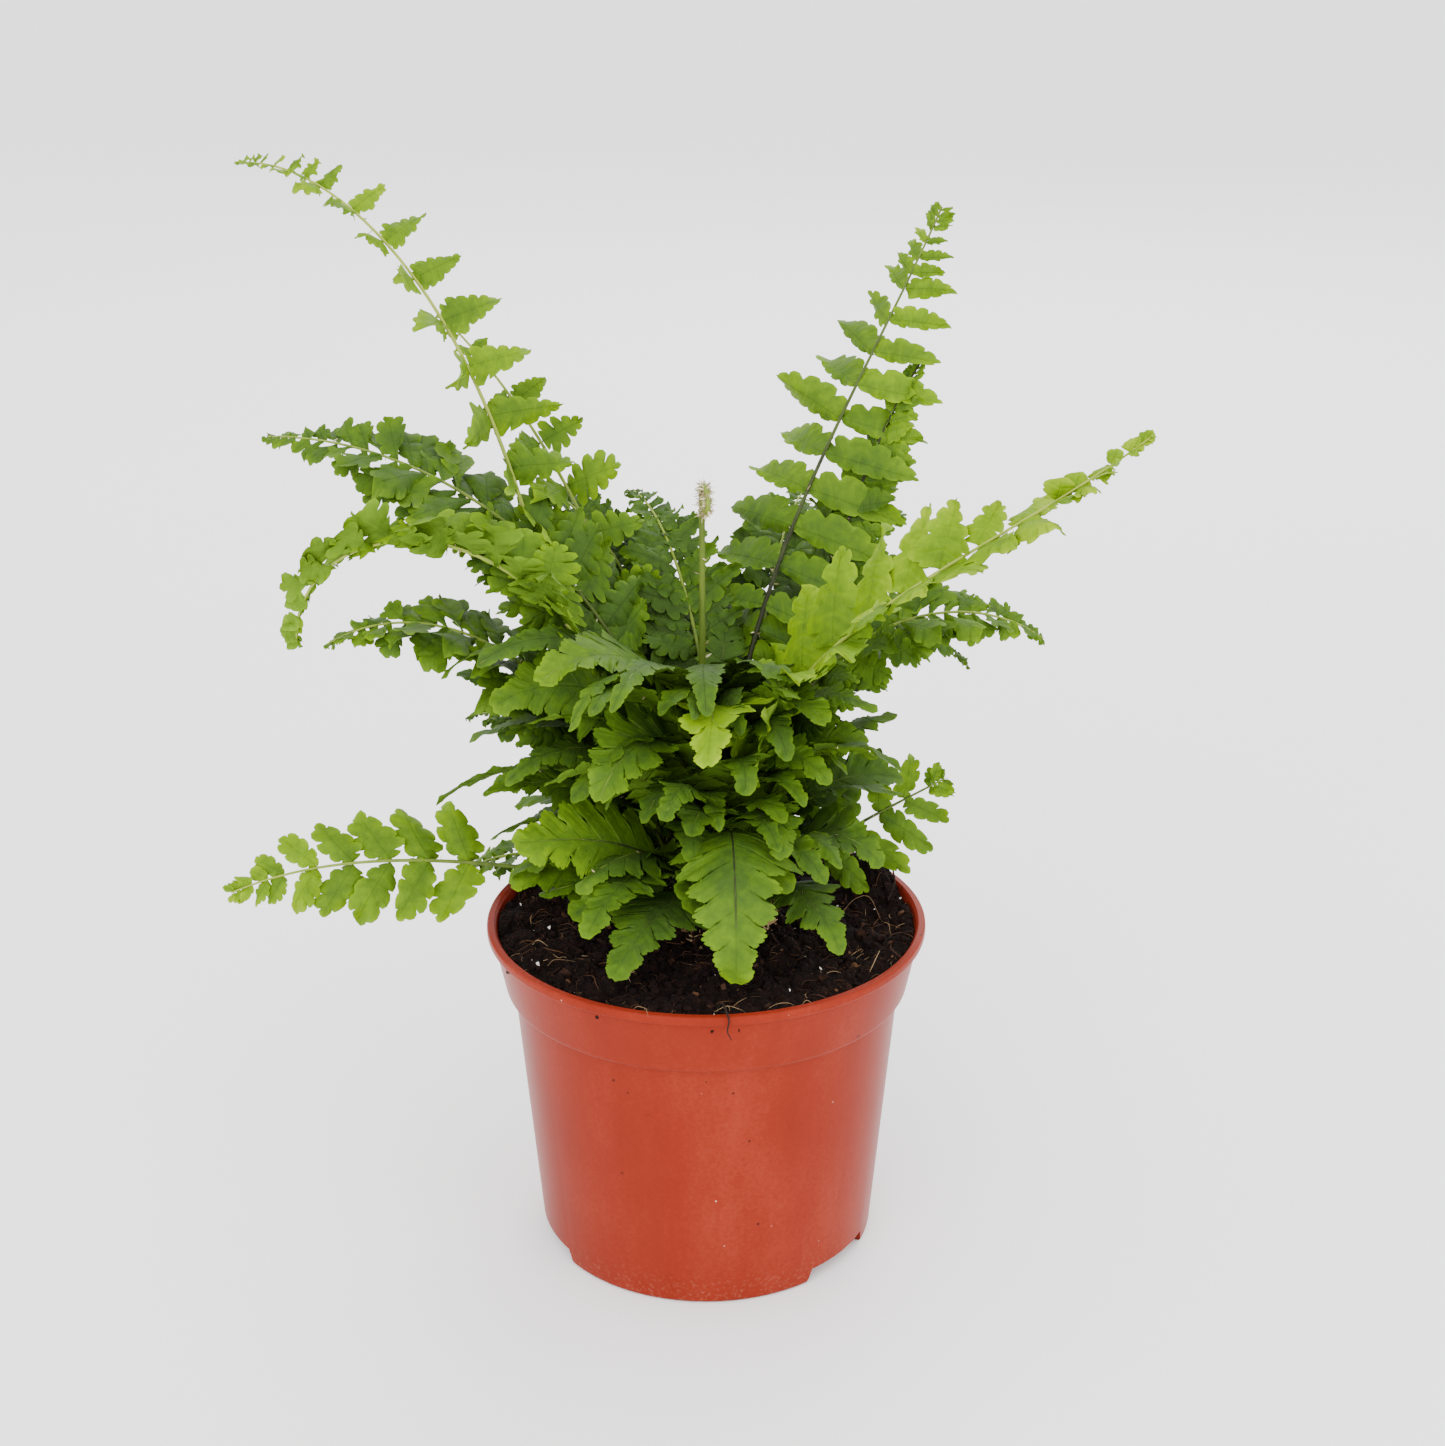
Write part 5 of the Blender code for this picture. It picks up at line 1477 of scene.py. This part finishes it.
def make_pot(finish):
    """The pot: a turned shell less its hollow, its drainage pockets and their holes."""
    top, above, mouth = POT_HEIGHT, POT_HEIGHT + CUT_PAST_TOP, inner_radius(POT_HEIGHT)
    outer = rounded([(0, top, 0), (LIP_RADIUS, top, 0.8 * MM),
                     (LIP_RADIUS, top - LIP_HEIGHT, 0.5 * MM),
                     (LIP_RADIUS - LIP_INSET, top - LIP_UNDERSIDE, 0.3 * MM),
                     (BAND_FOOT_RADIUS, STEP_LEVEL, 0.7 * MM),
                     (BODY_TOP_RADIUS, STEP_LEVEL - STEP_HEIGHT, 0.8 * MM),
                     (FOOT_RADIUS, 0, 1.6 * MM), (0, 0, 0)])
    hollow = rounded([(0, above, 0), (mouth + MOUTH_CLEARANCE, above, 0), (mouth + MOUTH_SLOPE, top, 0),
                      (mouth, top - MOUTH_SLOPE, 0.3 * MM),
                      (BAND_FOOT_RADIUS - WALL, INNER_STEP[1], 0.6 * MM),
                      (inner_radius(INNER_STEP[0]), INNER_STEP[0], 0.6 * MM),
                      (FOOT_RADIUS - WALL, FLOOR, 1.2 * MM), (0, FLOOR, 0)])
    space = cut_away(turned_mesh("hollow", hollow), [pocket_block(angle, FLOOR) for angle in POCKET_ANGLES])
    cutters = [space]
    for angle in POCKET_ANGLES:
        cutters += [pocket_block(angle, 0), drain_hole(angle)]
    pot = cut_away(turned_mesh("pot", outer), cutters)
    pot.materials.clear()
    pot.materials.append(finish)
    pot.shade_smooth()
    pot.set_sharp_from_angle(angle=math.radians(POT_SHARP_ANGLE))
    add_piece("pot_shell", pot, "pot", ["pot"])


# Compost and crown


def soil_height(x, y):
    """Height of the compost's top: low at the edge, mounded, lumpy, with a clump at the back."""
    reach = math.hypot(x, y) / inner_radius(SOIL_LEVEL)
    lumps = math.sin(x * 210 + 1.3) * math.cos(y * 190 - 0.6) + 0.6 * math.sin(x * 410 - y * 350)
    clump = math.hypot(x - CLUMP_PLACE[0], y - CLUMP_PLACE[1]) / CLUMP_SPREAD
    crown = math.hypot(x - CROWN_PLACE[0], y - CROWN_PLACE[1])
    level = SOIL_LEVEL - SOIL_EDGE_DROP * reach ** 4 + SOIL_MOUND * (1 - reach ** 2)
    level += SOIL_LUMPS * lumps * min(1, max(0, (crown - CROWN_RADIUS) / LUMPS_CLEAR_OF_CROWN))
    return level + CLUMP_HEIGHT * math.exp(-clump ** 2)


def round_sheet(name, place, radius, height, depth, rings, spokes):
    """A closed round cake whose top follows height, with a field that is 1 on its top."""
    spots = [(*place, height(*place))]
    for ring in range(1, rings + 1):
        for spoke in range(spokes):
            angle = math.tau * (spoke + 0.5 * (ring % 2)) / spokes
            x = place[0] + radius * ring / rings * math.cos(angle)
            y = place[1] + radius * ring / rings * math.sin(angle)
            spots.append((x, y, height(x, y)))
    start = 1 + (rings - 1) * spokes
    low = len(spots)
    spots += [(x, y, height(*place) - depth) for x, y, z in spots[start:start + spokes]]
    faces = [(0, 1 + k, 1 + (k + 1) % spokes) for k in range(spokes)]
    for ring in range(rings - 1):
        a, b = 1 + ring * spokes, 1 + (ring + 1) * spokes
        for k in range(spokes):
            after = (k + 1) % spokes
            if ring % 2:
                faces += [(a + k, b + k, a + after), (a + after, b + k, b + after)]
            else:
                faces += [(a + k, b + k, b + after), (a + k, b + after, a + after)]
    faces += [(start + k, low + k, low + (k + 1) % spokes, start + (k + 1) % spokes) for k in range(spokes)]
    faces.append(tuple(range(low + spokes - 1, low - 1, -1)))
    mesh = bpy.data.meshes.new(name)
    mesh.from_pydata(spots, [], faces)
    mesh.shade_smooth()
    add_field(mesh, "top", "FLOAT", [1.0] * low + [0.0] * spokes)
    add_field(mesh, "tone", "FLOAT", [0.3] * len(spots))
    return mended(mesh)


def soil_sheet():
    """The compost's top, rough with clods and grains, banked up at the pot's wall."""
    def height(x, y):
        rough = noise.fractal(Vector((x, y, 0)) * SOIL_CLODS, 0.7, 2.2, 5)
        fine = noise.noise(Vector((x, y, 0.3)) * SOIL_GRAINS)
        edge = math.hypot(x, y) / inner_radius(SOIL_LEVEL)
        calm = 1 - 0.7 * max(0, edge - 0.9) / 0.1
        bank = SOIL_BANK * min(1.0, max(0.0, (edge - 0.6) / 0.4)) ** 2
        return soil_height(x, y) + bank + (0.5 + (rough * 1.5 + fine * 0.5) * calm) * MM

    return round_sheet("soil_top", (0, 0), inner_radius(SOIL_LEVEL + SOIL_BANK) - SOIL_GAP, height,
                       SOIL_DEPTH, *SOIL_RINGS)


# Flatness, roughness and fineness of each kind of small lump
CRUMB_FORMS = {"crumb": (0.8, 0.9, 2), "grit": (0.8, 0.8, 1), "chip": (0.4, 0.6, 1)}
CRUMB_SHAPES = 5
CRUMB_SHARP_ANGLE = 50


def crumb_meshes(name):
    """Small lumps of a few dozen faces each, one unit across."""
    flatness, roughness, level = CRUMB_FORMS[name]
    meshes = []
    for k in range(CRUMB_SHAPES):
        work = bmesh.new()
        bmesh.ops.create_icosphere(work, subdivisions=level, radius=0.5)
        for corner in work.verts:
            push = 1 + roughness * noise.noise(corner.co * 2.3 + Vector((7.1 * k, 0, 0)))
            corner.co = Vector((corner.co.x * push, corner.co.y * push * 0.8, corner.co.z * push * flatness))
        mesh = finished_mesh(work, name)
        mesh.shade_smooth()
        mesh.set_sharp_from_angle(angle=math.radians(CRUMB_SHARP_ANGLE))
        meshes.append(mesh)
    return meshes


THREAD_SHAPES = 5
THREAD_SIDES = 3
THREAD_STEPS = 7
THREAD_WIDTH = 0.022
THREAD_CURL = 0.16


def thread_meshes():
    """Thin curved threads that lie along +X, one unit long."""
    meshes = []
    for k in range(THREAD_SHAPES):
        dice = random.Random("thread" + str(k))
        bends = [dice.uniform(-THREAD_CURL, THREAD_CURL) for step in range(3)]
        work = bmesh.new()
        rings = []
        for step in range(THREAD_STEPS + 1):
            t = step / THREAD_STEPS
            sway = bends[0] * math.sin(math.pi * t) + bends[1] * math.sin(2 * math.pi * t)
            middle = Vector((t - 0.5, sway, abs(bends[2]) * math.sin(math.pi * t)))
            thin = THREAD_WIDTH * (1 - 0.8 * abs(2 * t - 1) ** 3)
            angles = [math.tau * i / THREAD_SIDES for i in range(THREAD_SIDES)]
            rings.append([work.verts.new(middle + thin * Vector((0, math.cos(angle), math.sin(angle))))
                          for angle in angles])
        for a, b in zip(rings, rings[1:]):
            for i in range(THREAD_SIDES):
                after = (i + 1) % THREAD_SIDES
                work.faces.new((a[i], a[after], b[after], b[i]))
        work.faces.new(rings[0])
        work.faces.new(rings[-1])
        bmesh.ops.recalc_face_normals(work, faces=work.faces)
        mesh = finished_mesh(work, "thread")
        mesh.shade_smooth()
        meshes.append(mesh)
    return meshes


def litter_growth():
    """Small things scattered over the top of a sheet."""
    tree = Growth("litter_growth", {"Shapes": "collection", "Finish": "material", "Density": float,
                                    "Smallest": float, "Largest": float, "Tilt": float, "Rise": float,
                                    "Seed": int})
    given = tree.inputs
    lean = tree.scaled(tree.random((-1.0, -1.0, 0.0), (1.0, 1.0, 0.0), 3), given["Tilt"])
    spin = tree.random((0.0, 0.0, -3.14), (0.0, 0.0, 3.14), 4)
    spots, outward = tree.scatter(given["Geometry"], given["Density"] * tree.named("top"), given["Seed"],
                                  tree.vector("ADD", lean, spin))
    dice = tree.random(0.0, 1.0, 8)
    size = given["Smallest"] + (given["Largest"] - given["Smallest"]) * dice * dice * dice
    placed = tree.place(spots, given["Shapes"], outward, size)
    upwards = tree.node("ShaderNodeCombineXYZ", {}, {"Z": 1.0})
    placed = tree.node("GeometryNodeTranslateInstances", {},
                       {"Instances": placed, "Translation": tree.scaled(upwards, size * given["Rise"]),
                        "Local Space": False})
    placed = tree.toned(placed)
    placed = tree.node("GeometryNodeRealizeInstances", {}, {0: placed})
    return tree.close(tree.paint(placed, given["Finish"]))


def crown_sheet():
    """The crown's top, lumpy between the seats of the fronds."""
    def height(x, y):
        reach = math.hypot(x - CROWN_PLACE[0], y - CROWN_PLACE[1])
        lumps = noise.fractal(Vector((x, y, 0.1)) * CROWN_CLODS, 0.8, 2.1, 4)
        return crown_surface(min(reach, CROWN_RADIUS)) + (lumps * 1.1 - 0.5) * MM

    return round_sheet("crown_top", CROWN_PLACE, CROWN_RADIUS, height, CROWN_SHEET_DEPTH, *CROWN_RINGS)


# What lies on the compost: name, shapes, finish, how many to a square metre, the smallest and the
# largest in millimetres, how far they tilt, how far they rise by their own size, and the seed
COMPOST_LITTER = (("compost_crumbs", "crumbs", "soil", 165000.0, 0.7, 3.6, 1.5, 0.02, 11),
                  ("compost_grit", "grit", "soil", 420000.0, 0.4, 1.2, 1.5, 0.1, 12),
                  ("compost_fibres", "threads", "bark", 45000.0, 2.5, 9.0, 0.35, 0.02, 13),
                  ("compost_threads", "threads", "pale", 9000.0, 2.0, 7.0, 0.5, 0.03, 14),
                  ("compost_perlite", "chips", "white", 8000.0, 0.3, 1.3, 1.5, 0.25, 15),
                  ("compost_chips", "chips", "bark", 9000.0, 0.8, 2.8, 0.8, 0.2, 16))


def make_compost(scatter):
    """The compost's top and what lies on it. Returns the finish of the pale roots."""
    soil = compost_finish()
    for item in frame["nodes"]["soil"].material_slots:
        item.material = soil
    top = soil_sheet()
    shelves = {name: seed_shelf(name, meshes)
               for name, meshes in (("crumbs", crumb_meshes("crumb")), ("grit", crumb_meshes("grit")),
                                    ("threads", thread_meshes()), ("chips", crumb_meshes("chip")))}
    pale = plain_finish("pale_root", 700, 0.75, (0.0, "5A412B"), (0.5, "8C7050"), (1.0, "BDA680"))
    bark = plain_finish("bark_fibre", 600, 0.85, (0.0, "1A100B"), (0.6, "4A2F1E"), (1.0, "7A5636"))
    white = plain_finish("perlite", 900, 0.8, (0.0, "B9B2A6"), (0.5, "E4E0D8"), (1.0, "F4F2EE"))
    finishes = {"soil": soil, "bark": bark, "pale": pale, "white": white}
    for name, shelf, finish, density, smallest, largest, tilt, rise, seed in COMPOST_LITTER:
        made = scatter.grow(name, top.copy(), Shapes=shelves[shelf], Finish=finishes[finish],
                            Density=density, Smallest=smallest * MM, Largest=largest * MM, Tilt=tilt,
                            Rise=rise, Seed=seed)
        add_piece(name, made, "compost")
    top.materials.append(soil)
    add_piece("compost_top", top, "compost")
    for shelf in shelves.values():
        clear_shelf(shelf)
    return pale


CROWN_CHAFF = dict(Density=900000.0, Smallest=1.5 * MM, Largest=5.0 * MM, Tilt=1.0, Rise=0.0, Seed=21)


def make_crown(scatter, scales):
    """The crown's top and the chaff that stands on it."""
    crown = crown_sheet()
    rhizome = plain_finish("rhizome", 420, 0.85, (0.0, "1B110B"), (0.5, "3A2617"), (1.0, "6B4A2D"))
    chaff = plain_finish("crown_scale", 600, 0.75, (0.0, "5C4128"), (0.5, "9C7B52"), (1.0, "D8C7A2"))
    made = scatter.grow("crown_scales", crown.copy(), Shapes=scales, Finish=chaff, **CROWN_CHAFF)
    add_piece("crown_scales", made, "rhizome")
    crown.materials.append(rhizome)
    add_piece("crown_top", crown, "rhizome", ["crown"])


# Loose roots: each a path of points on the compost or over the rim, in millimetres
PALE_ROOTS = (((-19, -51.5, 91.5), (-17.5, -54, 94.2), (-15.5, -54.6, 94), (-14, -52, 91.5)),
              ((-16, -53, 92), (-15.4, -56.4, 95), (-14.9, -58.2, 94.9), (-14.6, -59.6, 94.3)),
              ((2, -52, 91.5), (5, -54, 94.2), (8, -55, 94), (10, -52.5, 91.5)),
              ((6, -53, 92), (5.4, -55.4, 95), (4.2, -56.8, 95.2)),
              ((15, -51, 91.5), (18, -52.8, 94.2), (21, -52.2, 94), (23, -50, 91.5)),
              ((24, -49.5, 91.6), (25.2, -51.8, 94.6), (26.8, -51.6, 93.8)),
              ((-42, -25, 91), (-40, -27, 93.8), (-36, -26, 93), (-33, -23, 90.5)),
              ((-47, -13, 91), (-45, -15, 93.6), (-41, -16, 91)),
              ((43, -29, 91), (45, -26, 94), (46, -22, 93.6), (45, -19, 91)),
              ((38, 6, 92), (41, 4, 96.5), (45, 4, 97), (48, 0, 92)),
              ((30, -31, 90.5), (33, -32.6, 93), (37, -31, 91)))
DARK_ROOTS = (((3, -51, 92), (4, -54.5, 95.2), (4.8, -58.5, 95.4), (5.6, -60.6, 93.6), (5.2, -60.4, 90.5),
               (6.2, -60.2, 88)),
              ((38, 20, 95), (43, 17, 102), (48, 13, 103), (51, 10, 99)),
              ((46, 24, 96), (50, 19, 101), (51, 12, 104), (52, 6, 101), (50, 2, 97)))


def root_growth():
    """Tubes along paths, as thick as the paths' own width."""
    tree = Growth("root_growth", {"Finish": "material", "Sides": int})
    given = tree.inputs
    tube = tree.tube(given["Geometry"], given["Sides"], given["Finish"])
    return tree.close(tree.node("GeometryNodeRealizeInstances", {}, {0: tube}))


PALE_ROOT_RADIUS = 0.085 * MM
DARK_ROOT_RADIUS = 0.36 * MM
ROOT_WIDTHS = (0.8, 1.5)
ROOT_TONES = (0.2, 1.0)
ROOT_THINNING = 0.7


def make_roots(pale):
    """Loose roots on the compost and over the rim, pale and dark, thinner towards their ends."""
    growth = root_growth()
    dark = plain_finish("dark_root", 700, 0.8, (0.0, "080504"), (1.0, "2B1B12"))
    for name, paths, width, finish in (("pale_roots", PALE_ROOTS, PALE_ROOT_RADIUS, pale),
                                       ("dark_roots", DARK_ROOTS, DARK_ROOT_RADIUS, dark)):
        dice = random.Random(name)
        lines = [[point * MM for point in smooth_path(path)] for path in paths]
        widths, tones = [], []
        for line in lines:
            thick, tone = width * dice.uniform(*ROOT_WIDTHS), dice.uniform(*ROOT_TONES)
            widths += [thick * (1 - ROOT_THINNING * k / len(line)) for k in range(len(line))]
            tones += [tone] * len(line)
        mesh = path_mesh(name, lines, stem_width=widths, tone=tones)
        add_piece(name, growth.grow(name, mesh, Finish=finish, Sides=6), "compost")


# Studio


# Name, place, aim, size and power of each light
LIGHTS = (("key", (-0.55, -1.4, 1.0), (0, 0, 0.12), 1.4, 20),
          ("fill", (1.2, -1.2, 0.6), (0, 0, 0.12), 1.4, 12),
          ("back", (0.3, 1.4, 1.3), (0, 0, 0.15), 1.2, 15))
WORLD_STRENGTH = 2.25
FLOOR_RADIUS = 14
CAMERA_PLACE = (0, -0.5658, 0.3658)
CAMERA_DOWN = 20.87
CAMERA_TURN = -0.45
CAMERA_LENS = 56.75
CAMERA_SENSOR = 36


def make_stage():
    """A wide round floor of pale paper."""
    work = bmesh.new()
    bmesh.ops.create_circle(work, cap_ends=True, segments=96, radius=FLOOR_RADIUS)
    mesh = finished_mesh(work, "studio_floor")
    floor = add_object("studio_floor", mesh)
    paper = Finish("studio_paper")
    colour = paper.ramp(paper.grain(3, 2.0), (0.0, "F8F8F8"), (1.0, "FCFCFC"))
    mesh.materials.append(paper.surface(Base_Color=colour, Roughness=0.9, Specular_IOR_Level=0.1))


def add_light(name, place, aim, size, power):
    """A round, soft light."""
    light = bpy.data.lights.new(name, "AREA")
    light.shape = "DISK"
    light.size = size
    light.energy = power
    item = add_object(name, light)
    item.location = place
    item.rotation_euler = (Vector(aim) - Vector(place)).to_track_quat("-Z", "Y").to_euler()


def make_studio():
    """Floor, lights, white surroundings and the camera."""
    make_stage()
    for light in LIGHTS:
        add_light(*light)
    world = bpy.data.worlds.new("studio")
    world.use_nodes = True
    sky = world.node_tree.nodes["Background"].inputs
    sky["Color"].default_value = (1, 1, 1, 1)
    sky["Strength"].default_value = WORLD_STRENGTH
    bpy.context.scene.world = world
    lens = bpy.data.cameras.new("camera")
    lens.lens = CAMERA_LENS
    lens.sensor_width = CAMERA_SENSOR
    camera = add_object("camera", lens)
    camera.location = CAMERA_PLACE
    camera.rotation_euler = (math.radians(90 - CAMERA_DOWN), 0, math.radians(CAMERA_TURN))
    bpy.context.scene.camera = camera


def main():
    """Builds the studio and then the plant, from the pot upwards."""
    make_studio()
    make_pot(pot_finish())
    growth, scatter = frond_growth(), litter_growth()
    shelf, starts = leaflet_shelf()
    scales = scale_shelf()
    pale = make_compost(scatter)
    make_crown(scatter, scales)
    make_roots(pale)
    stock = dict(Leaflets=shelf, Scales=scales, Stem=stem_finish(), Scale=hair_finish())
    young = leaf_finish("young_leaf", 0.06)
    seats = make_fronds(growth, stock, leaf_finish("frond_leaf", 0.0), young, starts)
    make_crown_leaves(growth, stock, young, starts)
    make_fiddlehead(growth, stock, seats["fiddlehead"])
    clear_shelf(shelf)
    clear_shelf(scales)


main()
